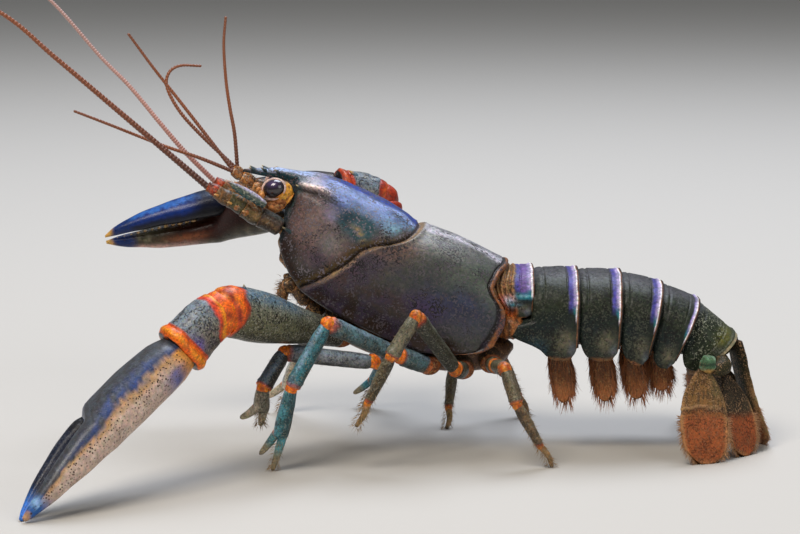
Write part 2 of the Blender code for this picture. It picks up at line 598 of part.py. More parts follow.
def leg_bases():
    """The soft keel between the legs, with the stub that each limb grows from."""
    keel = ((-12.6, 21.8, 2.0, 3.6), (-10.5, 20.6, 3.0, 4.6), (-4, 17.9, 3.2, 5.0), (3, 15.6, 3.0, 5.0),
            (10, 15.0, 2.9, 5.0), (15.5, 15.3, 2.7, 4.4), (18.2, 15.9, 1.8, 3.2))
    rings = []
    for x, z, half_height, half_width in keel:
        offsets = section_offsets(SIDE, np.array((0.0, 0.0, 1.0)), half_width, half_height, 12, 0.8)
        rings.append(np.array((x, 0, z)) + offsets)
    pieces = [loft("keel", rings, "soft_underside", "pieces")]
    for side in ("left", "right"):
        for number in HIPS:
            inner, hip, radius = coxa(side, number)
            rings = limb_rings((inner, hip), (radius, 0.86 * radius), (0, 0, 1), None, None, 1.05, 10, 0, 0.5)
            pieces.append(loft("stub", rings, "soft_underside", "pieces"))
    fuse("leg_bases", pieces, "soft_underside")


def claw_frame(side):
    """Wrist, length and the claw's directions: along, towards the moving finger, and to its back."""
    wrist, tip = (np.array(ARM_JOINTS[side][k]) for k in (2, 3))
    along = unit(tip - wrist)
    back = square_to(CLAW_BACK[side], along)
    inner = np.cross(along, back) if side == "left" else np.cross(back, along)
    return wrist, np.linalg.norm(tip - wrist), along, inner, back


def claw_ring(side, row, around=12):
    wrist, length, along, inner, back = claw_frame(side)
    t, half_width, half_depth, offset = row
    centre = wrist + along * (t * length + (GAP if t == 0 else 0)) + inner * offset
    centre = centre + back * CLAW_ARCH[side] * math.sin(math.pi * t)
    ring = centre + section_offsets(inner, back, half_width, half_depth, around, 0.92)
    ring[:, 2] = np.maximum(ring[:, 2], 0.0)
    return ring


def claw_tooth(side, t, rows, inward):
    """A blunt tooth on the cutting edge of a claw's finger, at t along the claw."""
    wrist, length, along, inner, back = claw_frame(side)
    table = np.array(rows)
    knots = [tuple((row[0], row[k]) for row in table) for k in (1, 3)]
    half_width, offset = (smooth(knot, t) for knot in knots)
    edge = wrist + along * t * length + inner * (offset + inward * (half_width - 0.35))
    edge = edge + back * CLAW_ARCH[side] * math.sin(math.pi * t)
    return spine(edge, edge + inward * inner * 0.85, 0.5, 6)


def claw(side):
    """Palm with its fixed finger, and the moving finger, each with blunt teeth along its cutting edge."""
    pieces = [loft("palm", [claw_ring(side, row) for row in PALM], "claw_pale", "pieces")]
    pieces += [claw_tooth(side, t, PALM, 1) for t in (0.66, 0.72, 0.78, 0.84, 0.9)]
    fuse(f"claw_{side}_palm", pieces, "claw_pale")
    pieces = [loft("finger", [claw_ring(side, row) for row in FINGER], "claw_blue", "pieces")]
    pieces += [claw_tooth(side, t, FINGER, -1) for t in (0.69, 0.75, 0.81, 0.87)]
    fuse(f"claw_{side}_finger", pieces, "claw_blue")


def arm(side):
    """Upper arm and wrist of a claw, with the spines on their inner sides."""
    inner, hip, _ = coxa(side, 1)
    first, elbow, wrist, tip = map(np.array, ARM_JOINTS[side])
    _, _, along, inward, back = claw_frame(side)
    hint = unit(np.cross(elbow - first, wrist - elbow))
    start, middle, end = round_bend(first, elbow, wrist, ELBOW_CUT[side])
    beside, radius = ELBOW_RADII[side]
    rings = limb_rings((hip, first, start, middle), (2.0, 2.3, beside, radius), hint, hip - inner,
                       end - start, 1.08, 10)
    pieces = [loft("arm", rings, "leg_teal", "pieces")]
    run = unit(elbow - first)
    crest = square_to(run - unit(wrist - elbow), run)
    for t, height in ((0.55, 3.2), (0.8, 3.7)):
        root = first + t * (elbow - first) + crest * (height - 1.1)
        pieces.append(spine(root, root + crest * 1.9 + run * 1.1, 0.8))
    fuse(f"arm_{side}", pieces, "leg_teal")
    rings = limb_rings((middle, end, wrist), (radius, beside, WRIST_RADII[side]), hint, end - start, along,
                       1.08, 10,
                       0.5, 0)
    pieces = [loft("wrist", rings, "joint_orange", "pieces")]
    root = elbow + 0.62 * (wrist - elbow) + inward * 2.2
    pieces.append(spine(root, root + inward * 2.2 + along * 1.4, 0.8))
    fuse(f"wrist_{side}", pieces, "joint_orange")


# Head appendages


def eye(side):
    """A stalked eye in the notch beside the rostrum."""
    s, y, h = EYE_CENTRE
    sign = -1 if side == "left" else 1
    ball = lump("ball", shell_point(s, sign * y, h), (EYE_RADIUS,) * 3, 14, 9)
    stalk = limb_rings((shell_point(8.0, sign * 4.7, -0.9), shell_point(6.0, sign * 4.9, -0.3)), (1.0, 1.3),
                       (0, 1, 0), AXIS, None, 1.0, 10, 0, 0)
    fuse(f"eye_{side}", [ball, loft("stalk", stalk, "eye", "pieces")], "eye")


def blade_points(root, tip, across, half_width, bow, thickness, shape, rows=9, columns=7, shift=0.0,
                 cup=0.12):
    """Front and back faces of a thin curved blade, as two like grids of points."""
    root, tip = np.array(root, float), np.array(tip, float)
    along = unit(tip - root)
    across = square_to(across, along)
    out = np.cross(across, along)
    length = np.linalg.norm(tip - root)
    faces = ([], [])
    for t in np.linspace(0, 1, rows):
        width = half_width * smooth(shape, t)
        for u in np.linspace(-1, 1, columns):
            round_end = 1 - BLADE_ROUNDING * u * u * smooth(((0, 0), (0.6, 0.1), (1, 1)), t)
            place = root + along * t * length * round_end
            place = place + across * (width * u + shift * math.sin(math.pi * t))
            place = place + out * (bow * math.sin(math.pi * t) - cup * width * u * u)
            half = 0.5 * thickness * (1.25 - 0.35 * t) * (1 - 0.35 * u * u)
            ridge = 0.22 * math.exp(-((u / 0.2) ** 2)) * (1 - t)
            faces[0].append(place + out * (half + ridge))
            faces[1].append(place - out * half)
    return np.array(faces[0]), np.array(faces[1])


def blade(name, colour, shape, where="crayfish", rows=9, columns=7, **sizes):
    """A thin curved blade, split into like triangles on both faces."""
    front, rear = blade_points(shape=shape, rows=rows, columns=columns, **sizes)
    points = np.vstack((front, rear))
    points[:, 2] = np.maximum(points[:, 2], 0.0)
    count = rows * columns
    faces = []
    for r in range(rows - 1):
        for c in range(columns - 1):
            a = r * columns + c
            b, d, e = a + 1, a + columns, a + columns + 1
            for offset in (0, count):
                faces += [(a + offset, b + offset, e + offset), (a + offset, e + offset, d + offset)]
    loop = [c for c in range(columns)] + [r * columns + columns - 1 for r in range(1, rows)]
    loop += [(rows - 1) * columns + c for c in range(columns - 2, -1, -1)]
    loop += [r * columns for r in range(rows - 2, 0, -1)]
    for k, a in enumerate(loop):
        b = loop[(k + 1) % len(loop)]
        faces.append((a, b, b + count, a + count))
    return mesh_object(name, points, faces, colour, where)


TELSON_SHAPE = ((0, 0.86), (0.15, 1.0), (0.45, 0.97), (0.75, 0.95), (0.92, 0.8), (1, 0.6))
BLADE_SHAPE = ((0, 0.24), (0.15, 0.6), (0.35, 0.9), (0.6, 1.0), (0.82, 0.94), (0.93, 0.8), (1, 0.6))
SCALE_SHAPE = ((0, 0.6), (0.3, 1.0), (0.7, 0.8), (1, 0.15))


def tail_fan():
    """Telson and the two pairs of side blades, hanging to the floor."""
    blade("telson", "fan", TELSON_SHAPE, thickness=1.1, cup=0.3, **TELSON)
    for side in ("left", "right"):
        outer = mirrored(OUTER_BLADE, side, *RIGHT_OUTER_BACK)
        inner = mirrored(INNER_BLADE, side, 0.0, RIGHT_INNER_BACK)
        sign = 1 if side == "left" else -1
        outer["bow"] = sign * OUTER_BLADE["bow"]
        inner["bow"] = sign * INNER_BLADE["bow"]
        plate = blade("plate", "fan", BLADE_SHAPE, "pieces", thickness=BLADE_THICKNESS, shift=-0.7,
                      cup=0.12 * sign, **outer)
        bends = [side_of(side, p) for p in FAN_KNUCKLE]
        if side == "right":
            bends[2] = bends[2] + np.array((RIGHT_OUTER_BACK[0], 0.0, 0.0))
        knuckle = limb_rings(bends, FAN_KNUCKLE_RADII, (0, 0, 1), None, None, 1.05, 8, 0, 0)
        fuse(f"tail_blade_{side}_outer", [plate, loft("knuckle", knuckle, "fan", "pieces")], "fan")
        blade(f"tail_blade_{side}_inner", "fan", BLADE_SHAPE, thickness=BLADE_THICKNESS, cup=0.12 * sign,
              **inner)


def antenna(side):
    """The antenna's jointed stalk with its flat scale, and the long whip that it carries."""
    stalk_points = [side_of(side, p) for p in ANTENNA_STALK[side]]
    rings = limb_rings(stalk_points, ANTENNA_STALK_RADII, (0, 1, 0), AXIS, None, 1.08, 10, 0, 0)
    scale_root, scale_tip = (side_of(side, p) for p in ANTENNA_SCALE)
    scale = blade("scale", "soft_underside", SCALE_SHAPE, "pieces", 6, 5, root=scale_root, tip=scale_tip,
                  across=(0.2, 0.5 if side == "left" else -0.5, 0.9), half_width=ANTENNA_SCALE_HALF_WIDTH,
                  bow=0.2,
                  thickness=0.9)
    arm_link = loft("link", limb_rings((stalk_points[1], 0.6 * scale_root + 0.4 * scale_tip), (0.9, 0.6),
                                       (0, 0, 1),
                                       None, None, 1.0, 6, 0, 0), "soft_underside", "pieces")
    fuse(f"antenna_stalk_{side}", [loft("stalk", rings, "soft_underside", "pieces"), scale, arm_link],
         "soft_underside")
    whip(f"antenna_{side}", ANTENNA_PATH[side], ANTENNA_RADIUS[side], 34,
         "feeler" if side == "left" else "antenna_pale")


def whip(name, points, radii, count, colour, keep=True, skip=GAP):
    """A tapering feeler: a curve with filled ends, made a closed mesh."""
    path = smooth_path(points, count)
    path[0] += skip * unit(path[1] - path[0])
    curve = bpy.data.curves.new(name, "CURVE")
    curve.dimensions = "3D"
    curve.bevel_depth = 1.0 * MM
    curve.bevel_resolution = 1
    curve.use_fill_caps = True
    line = curve.splines.new("POLY")
    line.points.add(count - 1)
    origin = np.array((CENTRE_X, CENTRE_Y, 0.0))
    for i, place in enumerate(path):
        line.points[i].co = (*((place - origin) * MM), 1.0)
        line.points[i].radius = radii[0] + (radii[1] - radii[0]) * i / (count - 1)
    holder = bpy.data.objects.new(name + "_curve", curve)
    collection("pieces").objects.link(holder)
    bpy.context.view_layer.update()
    mesh = bpy.data.meshes.new_from_object(holder.evaluated_get(bpy.context.evaluated_depsgraph_get()))
    bpy.data.objects.remove(holder, do_unlink=True)
    work = bmesh.new()
    work.from_mesh(mesh)
    bmesh.ops.remove_doubles(work, verts=work.verts, dist=1e-6)
    bmesh.ops.recalc_face_normals(work, faces=work.faces)
    work.to_mesh(mesh)
    work.free()
    mesh.name = name
    mesh.materials.clear()
    mesh.materials.append(material(colour))
    made = bpy.data.objects.new(name, mesh)
    collection("crayfish" if keep else "pieces").objects.link(made)
    return made


def antennule(side):
    """The small inner feeler: a jointed stalk that splits into two thin whips."""
    stalk_points = [side_of(side, p) for p in ANTENNULE_STALK]
    rings = limb_rings(stalk_points, ANTENNULE_RADII, (0, 1, 0), AXIS, None, 1.06, 8, 0, 0)
    pieces = [loft("stalk", rings, "feeler", "pieces")]
    for path in ANTENNULE_PATHS[side]:
        pieces.append(whip("feeler", path, ANTENNULE_FEELER_RADIUS, 20, "feeler", False, 0.0))
    fuse(f"antennule_{side}", pieces, "feeler")


def mouth_leg(side):
    """The third maxilliped, folded along the mouth with its end bent down."""
    points = [side_of(side, p) for p in MOUTH_LEG]
    loft(f"mouth_leg_{side}", limb_rings(points, (1.2, 1.35, 1.15, 0.9, 0.35), (0, 1, 0), (-1, 0, 0), None,
                                         1.05, 8, 0, 0),
         "soft_underside")


def tail_underside():
    """The soft floor of the belly segments with its four pairs of swimmerets."""
    rings = []
    for x, z, half_width in TAIL_FLOOR:
        offsets = section_offsets(SIDE, np.array((0.0, 0.0, 1.0)), half_width, 0.75, 12, 0.8)
        rings.append(np.array((x, 0, z)) + offsets)
    pieces = [loft("floor", rings, "soft_underside", "pieces")]
    for x, low in SWIMMERETS:
        for sign in (-1, 1):
            root = (x, 4.2 * sign, smooth([row[:2] for row in TAIL_FLOOR], x))
            tip = (x + 1.2, 5.4 * sign, low)
            pieces.append(blade("swimmeret", "soft_underside", BLADE_SHAPE, "pieces", 6, 5, root=root,
                                tip=tip,
                                across=(0.8, 0.5 * sign, 0), half_width=1.7, bow=0.2, thickness=1.1))
            pieces.append(blade("swimmeret", "soft_underside", BLADE_SHAPE, "pieces", 6, 5,
                                root=(x + 0.6, 3.6 * sign, root[2]), tip=(x + 2.2, 3.0 * sign, low + 1.5),
                                across=(0.8, 0.5 * sign, 0), half_width=1.2, bow=0.2, thickness=1.0))
    fuse("tail_underside", pieces, "soft_underside")


def main():
    clear_scene()
    head()
    thorax()
    for number in range(1, 7):
        somite(number)
    tail_fan()
    leg_bases()
    tail_underside()
    for side in ("left", "right"):
        eye(side)
        antenna(side)
        antennule(side)
        mouth_leg(side)
        arm(side)
        claw(side)
        for number in LEG_GIRTH:
            leg(side, number)


main()
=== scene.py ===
"""The looks of a life-size crayfish, Cherax alyciae, walking on a pale floor.

Each piece is worked out in millimetres in a modelling frame whose floor is z = 0, with the head
towards -X and the animal's left flank facing -Y, and becomes metres when its mesh is made.
"""

import logging
import math
from dataclasses import dataclass, field
from enum import Enum
from typing import ClassVar, Sequence

import bmesh
import bpy
import numpy as np
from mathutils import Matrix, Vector


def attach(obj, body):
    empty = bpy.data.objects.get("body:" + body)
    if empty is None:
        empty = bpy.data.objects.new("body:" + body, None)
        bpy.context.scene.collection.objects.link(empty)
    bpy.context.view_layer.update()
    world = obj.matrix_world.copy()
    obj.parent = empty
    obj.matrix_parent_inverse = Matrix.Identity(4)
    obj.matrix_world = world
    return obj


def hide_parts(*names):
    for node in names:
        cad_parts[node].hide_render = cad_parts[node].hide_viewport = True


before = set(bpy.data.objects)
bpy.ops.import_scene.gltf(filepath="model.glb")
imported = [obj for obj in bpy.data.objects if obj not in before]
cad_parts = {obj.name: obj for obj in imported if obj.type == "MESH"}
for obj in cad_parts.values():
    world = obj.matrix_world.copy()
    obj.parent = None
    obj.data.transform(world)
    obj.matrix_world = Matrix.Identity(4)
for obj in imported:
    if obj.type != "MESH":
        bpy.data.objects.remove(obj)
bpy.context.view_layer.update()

LOG = logging.getLogger("crayfish")
MM = 0.001
CENTRE = np.array((-15.2, -11.8, 0.0))  # modelling-frame point that becomes the origin
SIDE = np.array((0.0, 1.0, 0.0))
UP = np.array((0.0, 0.0, 1.0))
Knots = Sequence[tuple[float, ...]]
Triple = tuple[float, float, float]
Point = Sequence[float]
Array = np.ndarray
Mask = np.ndarray | float
Tree = bpy.types.NodeTree
Socket = bpy.types.NodeSocket


class Flank(Enum):
    """The two sides of the animal; the left one faces the camera."""

    LEFT = "left"
    RIGHT = "right"

    @property
    def sign(self) -> int:
        """-1 for the left flank, which faces -Y, and 1 for the right one."""
        return -1 if self is Flank.LEFT else 1

    def place(self, point: Point) -> Array:
        """A point given by its distance from the middle plane, set on this flank."""
        x, y, z = point
        return vec(x, self.sign * abs(y), z)


# Small maths


def vec(*values: float) -> Array:
    """A point or a direction."""
    return np.array(values, float)


def unit(vector: Point) -> Array:
    """The vector at length one."""
    vector = np.asarray(vector, float)
    return vector / np.linalg.norm(vector)


def units(rows: Array) -> Array:
    """Each row at length one."""
    return rows / np.linalg.norm(rows, axis=1, keepdims=True)


def square_to(vector: Point, direction: Array) -> Array:
    """The part of vector at right angles to direction, at length one."""
    vector = np.asarray(vector, float)
    return unit(vector - np.dot(vector, direction) * direction)


def smooth(knots: Knots, at: Mask) -> Array:
    """The smooth line through knots, with no overshoot.

    Args:
        knots: (place, value) pairs in order of place.
        at: the places that are asked for.

    Returns:
        The value at each place.
    """
    x, y = np.array(knots, float).T
    step = np.diff(x)
    slope = np.diff(y) / step
    tangent = np.concatenate(([slope[0]], np.zeros(len(x) - 2), [slope[-1]]))
    for i in range(1, len(x) - 1):
        if slope[i - 1] * slope[i] > 0:
            a, b = 2 * step[i] + step[i - 1], step[i] + 2 * step[i - 1]
            tangent[i] = (a + b) / (a / slope[i - 1] + b / slope[i])
    at = np.clip(at, x[0], x[-1])
    i = np.clip(np.searchsorted(x, at) - 1, 0, len(x) - 2)
    t = (at - x[i]) / step[i]
    rise = (2 * t**3 - 3 * t**2 + 1) * y[i] + (3 * t**2 - 2 * t**3) * y[i + 1]
    return rise + step[i] * ((t**3 - 2 * t**2 + t) * tangent[i] + (t**3 - t**2) * tangent[i + 1])


def smooth_path(points: Sequence[Point], count: int) -> Array:
    """Evenly numbered points on the smooth curve through the given ones.

    Args:
        points: the points to pass through.
        count: how many points come back.

    Returns:
        The points as rows.
    """
    points = np.array(points, float)
    run = np.vstack((2 * points[0] - points[1], points, 2 * points[-1] - points[-2]))
    place = np.linspace(0, len(points) - 1, count)
    i = np.minimum(place.astype(int), len(points) - 2)
    t = (place - i)[:, None]
    a, b, c, d = (run[i + k] for k in range(4))
    return 0.5 * (2 * b + (c - a) * t + (2 * a - 5 * b + 4 * c - d) * t**2 + (3 * b - a - 3 * c + d) * t**3)


def columns(rows: Knots, at: Mask, *picks: int) -> list[Array]:
    """Smooth lines through some columns of a table whose first column is the place."""
    return [smooth([(row[0], row[k]) for row in rows], at) for k in picks]


def distances(line: Array) -> Array:
    """How far along a line each of its points lies."""
    return np.concatenate(([0], np.cumsum(np.linalg.norm(np.diff(line, axis=0), axis=1))))


def between(rows: Array, marks: Array, at: Array) -> Array:
    """Rows in between those of a table, where its own rows stand at marks."""
    return np.stack([np.interp(at, marks, rows[:, k]) for k in range(3)], -1)


def turn(count: int) -> Array:
    """Angles set evenly round a circle."""
    return np.linspace(0, 2 * math.pi, count, endpoint=False)


def squared_off(angle: Array, power: float) -> list[Array]:
    """Cosine and sine of a circle that a power below 1 makes squarer."""
    return [np.sign(v) * abs(v) ** power for v in (np.cos(angle), np.sin(angle))]


def off_middle(rings: Array) -> Array:
    """How far each point stands off the middle of its ring."""
    return rings - rings.mean(1, keepdims=True)


def ease(value: Mask, low: float, high: float) -> Array:
    """0 below low, 1 above high and a smooth rise between; it falls where low is above high."""
    t = np.clip((np.asarray(value, float) - low) / (high - low), 0, 1)
    return t * t * (3 - 2 * t)


def hill(value: Mask, middle: float, spread: float) -> Array:
    """1 at the middle, falling away as a bell of that spread."""
    return np.exp(-(((np.asarray(value, float) - middle) / spread) ** 2))


def spot(a: Array, a_middle: float, a_spread: float, b: Array, b_middle: float, b_spread: float) -> Array:
    """A soft patch: 1 where both measures are at their middles."""
    return hill(a, a_middle, a_spread) * hill(b, b_middle, b_spread)


def ripple(points: Array, size: float, seed: int) -> Array:
    """An uneven wave about zero over points.

    Args:
        points: places in millimetres, in the last axis.
        size: the usual length of a wave in millimetres.
        seed: picks the waves.

    Returns:
        One value a point, mostly from -1 to 1.
    """
    random = np.random.default_rng(seed)
    total = np.zeros(points.shape[:-1])
    for _ in range(8):
        direction = unit(random.normal(size=3)) * (2 * math.pi / size) * random.uniform(0.6, 1.7)
        total += np.sin(points @ direction + random.uniform(0, 2 * math.pi))
    return total / 4


def linear(code: str) -> Triple:
    """An sRGB hex colour as linear red, green and blue."""
    channels = [int(code[i:i + 2], 16) / 255 for i in (1, 3, 5)]
    return tuple(c / 12.92 if c <= 0.04045 else ((c + 0.055) / 1.055) ** 2.4 for c in channels)


# Nodes


def set_inputs(tree: Tree, node: bpy.types.Node, inputs: dict) -> bpy.types.Node:
    """Gives a node's inputs their values, or links them where a socket is given."""
    for key, value in inputs.items():
        if isinstance(value, Socket):
            tree.links.new(value, node.inputs[key])
        else:
            node.inputs[key].default_value = value
    return node


def add_node(tree: Tree, kind: str, inputs: dict | None = None, **settings: object) -> bpy.types.Node:
    """Adds a node.

    Args:
        tree: the tree it goes in.
        kind: Blender's name for the kind of node.
        inputs: a value or a socket to link, by input name or number.
        **settings: the node's own settings.

    Returns:
        The new node.
    """
    node = tree.nodes.new(kind)
    for key, value in settings.items():
        setattr(node, key, value)
    return set_inputs(tree, node, inputs or {})


class Nodes:
    """A node tree while it is put together."""

    def __init__(self, tree: Tree) -> None:
        """Takes the tree that the nodes go in."""
        self.tree = tree

    def add(self, kind: str, inputs: dict | None = None, output: int | str = 0, **settings: object) -> Socket:
        """Adds a node and gives one of its outputs."""
        return add_node(self.tree, kind, inputs, **settings).outputs[output]

    def math(self, operation: str, *values: Socket | float) -> Socket:
        """Adds a sum on numbers."""
        return self.add("ShaderNodeMath", dict(enumerate(values)), operation=operation)

    def vector(self, operation: str, inputs: dict) -> Socket:
        """Adds a sum on vectors."""
        return self.add("ShaderNodeVectorMath", inputs, operation=operation)

    def attribute(self, name: str, output: str) -> Socket:
        """Reads a value that the piece carries, for its material."""
        return self.add("ShaderNodeAttribute", output=output, attribute_name=name)

    def noise(self, place: Socket, size_mm: float, detail: float) -> bpy.types.NodeOutputs:
        """The value and the colour of a noise whose lumps are about size_mm across."""
        return add_node(self.tree, "ShaderNodeTexNoise", {
            "Vector": place, "Scale": 1000 / size_mm, "Detail": detail, "Roughness": 0.6}).outputs

    def spread(self, value: Socket, low: float, high: float, to_low: float, to_high: float) -> Socket:
        """A value stretched from one range to another, with its ends cut off."""
        return self.add("ShaderNodeMapRange", dict(enumerate((value, low, high, to_low, to_high))))

    def cover(self, under: Socket, code: str, mask: Socket, amount: Socket) -> Socket:
        """A colour laid over another where mask times amount says."""
        share = self.math("MULTIPLY", mask, amount)
        return self.add("ShaderNodeMix", {0: share, 6: under, 7: (*linear(code), 1)}, 2, data_type="RGBA")


@dataclass(frozen=True)
class Finish:
    """What all finishes share: a name, and a material that is made once."""

    name: str

    def build(self) -> bpy.types.Material:
        """The material of this name, made when it is first asked for."""
        made = bpy.data.materials.get(self.name)
        if not made:
            made = bpy.data.materials.new(self.name)
            made.use_nodes = True
            shader = made.node_tree.nodes["Principled BSDF"]
            set_inputs(made.node_tree, shader, self.inputs(Nodes(made.node_tree)))
        return made


@dataclass(frozen=True)
class ShellFinish(Finish):
    """Hard, lime-stiffened skin, moulded in one with the animal: grained, flecked and wet.

    Attributes:
        shine: how strongly the skin under the wet film reflects.
        mottle: how much lighter and darker the clouds of colour are.
        mottle_mm: how wide those clouds are.
        grain_mm: how wide the bumps are that break up the shine.
        pit_mm: how wide the dark flecks are, or how far apart where they are round pores.
        speck_mm: how wide the pale flecks are.
    """

    roughness: float = 0.42
    coat: float = 0.18
    shine: float = 0.3
    mottle: float = 0.26
    mottle_mm: float = 2.2
    grain_mm: float = 0.42
    grain_depth_mm: float = 0.05
    pit_mm: float = 0.45
    pit: str = "#0E0B0B"
    pores: bool = False
    speck_mm: float = 0.36
    speck: str = "#A79AA6"
    blush: str = "#4A4066"

    def inputs(self, nodes: Nodes) -> dict:
        """The shader's inputs: colours from "paint", broken up by clouds, grain and flecks."""
        dim, bright = 1 - self.mottle, 1 + self.mottle
        place = nodes.add("ShaderNodeTexCoord", output="Object")
        amount = add_node(nodes.tree, "ShaderNodeSeparateXYZ", {0: nodes.attribute("marks", "Vector")}).outputs
        broad, fine, gather = (nodes.noise(place, self.mottle_mm * share, detail)
                               for share, detail in ((1, 4), (0.25, 4), (1.6, 2)))
        light = nodes.math("MULTIPLY", nodes.spread(broad[0], 0.32, 0.68, dim, bright),
                           nodes.spread(fine[0], 0.3, 0.7, dim, bright))
        lit = nodes.vector("SCALE", {0: nodes.attribute("paint", "Color"), "Scale": light})
        tint = nodes.vector("MULTIPLY_ADD", {
            0: fine[1], 1: (self.mottle * 2.4,) * 3, 2: (1 - self.mottle * 1.2,) * 3})
        colour = nodes.vector("MULTIPLY", {0: lit, 1: tint})
        colour = nodes.cover(colour, self.blush, nodes.spread(gather[0], 0.42, 0.6, 0, 1), amount[2])
        if self.pores:
            marked = self.round_pores(nodes, place)
        else:
            marked = self.flecks(nodes, place, self.pit_mm, gather[0], 0.22)
        colour = nodes.cover(colour, self.pit, marked, amount[0])
        colour = nodes.cover(colour, self.speck, self.flecks(nodes, place, self.speck_mm, broad[0], -0.22), amount[1])
        height = nodes.math("MULTIPLY_ADD", marked, -0.4, nodes.noise(place, self.grain_mm, 3)[0])
        bump = nodes.add("ShaderNodeBump", {"Strength": 1, "Distance": self.grain_depth_mm * MM, "Height": height})
        rough = nodes.spread(fine[0], 0.3, 0.7, self.roughness - 0.12, self.roughness + 0.12)
        return {"Base Color": colour, "Roughness": rough, "Normal": bump, "Specular IOR Level": self.shine,
                "Coat Weight": self.coat, "Coat Roughness": 0.2, "IOR": 1.5}

    def flecks(self, nodes: Nodes, place: Socket, size_mm: float, gather: Socket, pull: float) -> Socket:
        """Uneven flecks about size_mm across, thickest where gather is high, or low for a negative pull."""
        lifted = nodes.math("MULTIPLY_ADD", gather, pull * 2, nodes.noise(place, size_mm, 2)[0])
        edge = 0.53 + pull if pull > 0 else 0.56 + pull
        return nodes.spread(lifted, edge, edge + 0.07, 0, 1)

    def round_pores(self, nodes: Nodes, place: Socket) -> Socket:
        """Round dots of uneven size, pit_mm apart at their closest."""
        cells = add_node(nodes.tree, "ShaderNodeTexVoronoi", {"Vector": place, "Scale": 1000 / self.pit_mm}).outputs
        draw = nodes.add("ShaderNodeSeparateXYZ", {0: cells["Color"]})
        return nodes.spread(nodes.math("MULTIPLY_ADD", draw, -0.42, cells["Distance"]), 0, 0.08, 1, 0)


@dataclass(frozen=True)
class PlainFinish(Finish):
    """A finish of one even surface: colours from "paint", with no pattern of its own."""

    roughness: float
    coat: float = 0
    sheen: float = 0

    def inputs(self, nodes: Nodes) -> dict:
        """The shader's inputs."""
        return {"Base Color": nodes.attribute("paint", "Color"), "Roughness": self.roughness,
                "Coat Weight": self.coat, "Coat Roughness": 0.08, "Sheen Weight": self.sheen}


# Back shell: a satin, finely grained skin whose flecks break up every colour.
CARAPACE_FINISH = ShellFinish("wet_shell_carapace", 0.46, 0.12, 0.25, pit_mm=0.36)
# Tail rings: the same shell, darker and rougher, with olive-pale flecks.
RING_FINISH = ShellFinish("wet_shell_tail_rings", 0.5, 0.08, 0.18, mottle=0.3, speck_mm=0.3, speck="#8E907C")
# Limbs: thinner shell with small flecks that show at leg size.
LIMB_FINISH = ShellFinish("wet_shell_limbs", 0.42, 0.15, 0.25, mottle=0.28, mottle_mm=1.5, grain_mm=0.32, pit_mm=0.36,
                          speck_mm=0.28, speck="#B4B09C")
# Claws: thick, polished shell, the glossiest, with dark pores where it is pale.
CLAW_FINISH = ShellFinish("polished_shell_claws", 0.38, 0.15, 0.25, mottle=0.18, pit_mm=0.36, pit="#3A241A",
                          pores=True, speck="#9AA0B0")
# Tail blades: leathery and dull, with fine pale grit.
FAN_FINISH = ShellFinish("leathery_tail_blades", 0.55, 0.04, 0.12, mottle=0.2, mottle_mm=1.6, grain_mm=0.32,
                         pit_mm=0.3, speck_mm=0.24, speck="#B08A66")
# Soft skin of joints, mouth and belly: wrinkled, moist and uneven in colour.
SKIN_FINISH = ShellFinish("soft_joint_skin", 0.45, 0.15, 0.25, mottle=0.25, mottle_mm=1.3, grain_mm=0.5,
                          grain_depth_mm=0.08, pit_mm=0.5, speck="#D9A868")
# The cornea: dark and clear, with a clean shine.
EYE_FINISH = PlainFinish("glassy_eye", 0.2, 0.7)
# Feelers: bare horny rings, half glossy.
FEELER_FINISH = PlainFinish("horny_feeler_rings", 0.42, 0.2)
# Setae: stiff hair of the same stuff as the shell, dull at this size.
BRISTLE_FINISH = PlainFinish("horny_bristles", 0.65, 0, 0.1)


class Paint:
    """Colours and marks laid one over another on a grid of points."""

    def __init__(self, shape: tuple[int, int], ground: str) -> None:
        """Starts with one even colour over the grid."""
        self.colour = np.broadcast_to(linear(ground), (*shape, 3)).copy()
        self.marks = np.zeros((*shape, 3))

    def lay(self, code: str, mask: Mask) -> "Paint":
        """Covers what is there with a colour, by a mask from 0 to 1."""
        share = np.clip(np.broadcast_to(mask, self.colour.shape[:2]), 0, 1)[..., None]
        self.colour += (np.array(linear(code)) - self.colour) * share
        return self

    def lay_all(self, layers: Sequence[tuple[str, Mask]]) -> "Paint":
        """Lays colours with their masks, one over another."""
        for code, mask in layers:
            self.lay(code, mask)
        return self

    def mark(self, pits: Mask = 0, specks: Mask = 0, blush: Mask = 0) -> "Paint":
        """Sets how strongly the finish shows its dark pits, pale specks and blush."""
        for i, amount in enumerate((pits, specks, blush)):
            self.marks[..., i] = amount
        return self


def paint_on(rings: Array, ground: str) -> Paint:
    """A fresh paint over rings of points."""
    return Paint(rings.shape[:2], ground)


def grid_normals(rings: Array) -> Array:
    """The outward directions of a tube given as rings of points."""
    along = np.gradient(rings, axis=0)
    around = np.roll(rings, -1, axis=1) - np.roll(rings, 1, axis=1)
    normal = np.cross(along, around)
    normal /= np.linalg.norm(normal, axis=2, keepdims=True) + 1e-9
    outward = rings - rings.mean(axis=1, keepdims=True)
    return normal * np.sign((normal * outward).sum())


def relief(rings: Array, lift: Array) -> Array:
    """The rings with each point moved out by its lift in millimetres."""
    return rings + grid_normals(rings) * lift[..., None]


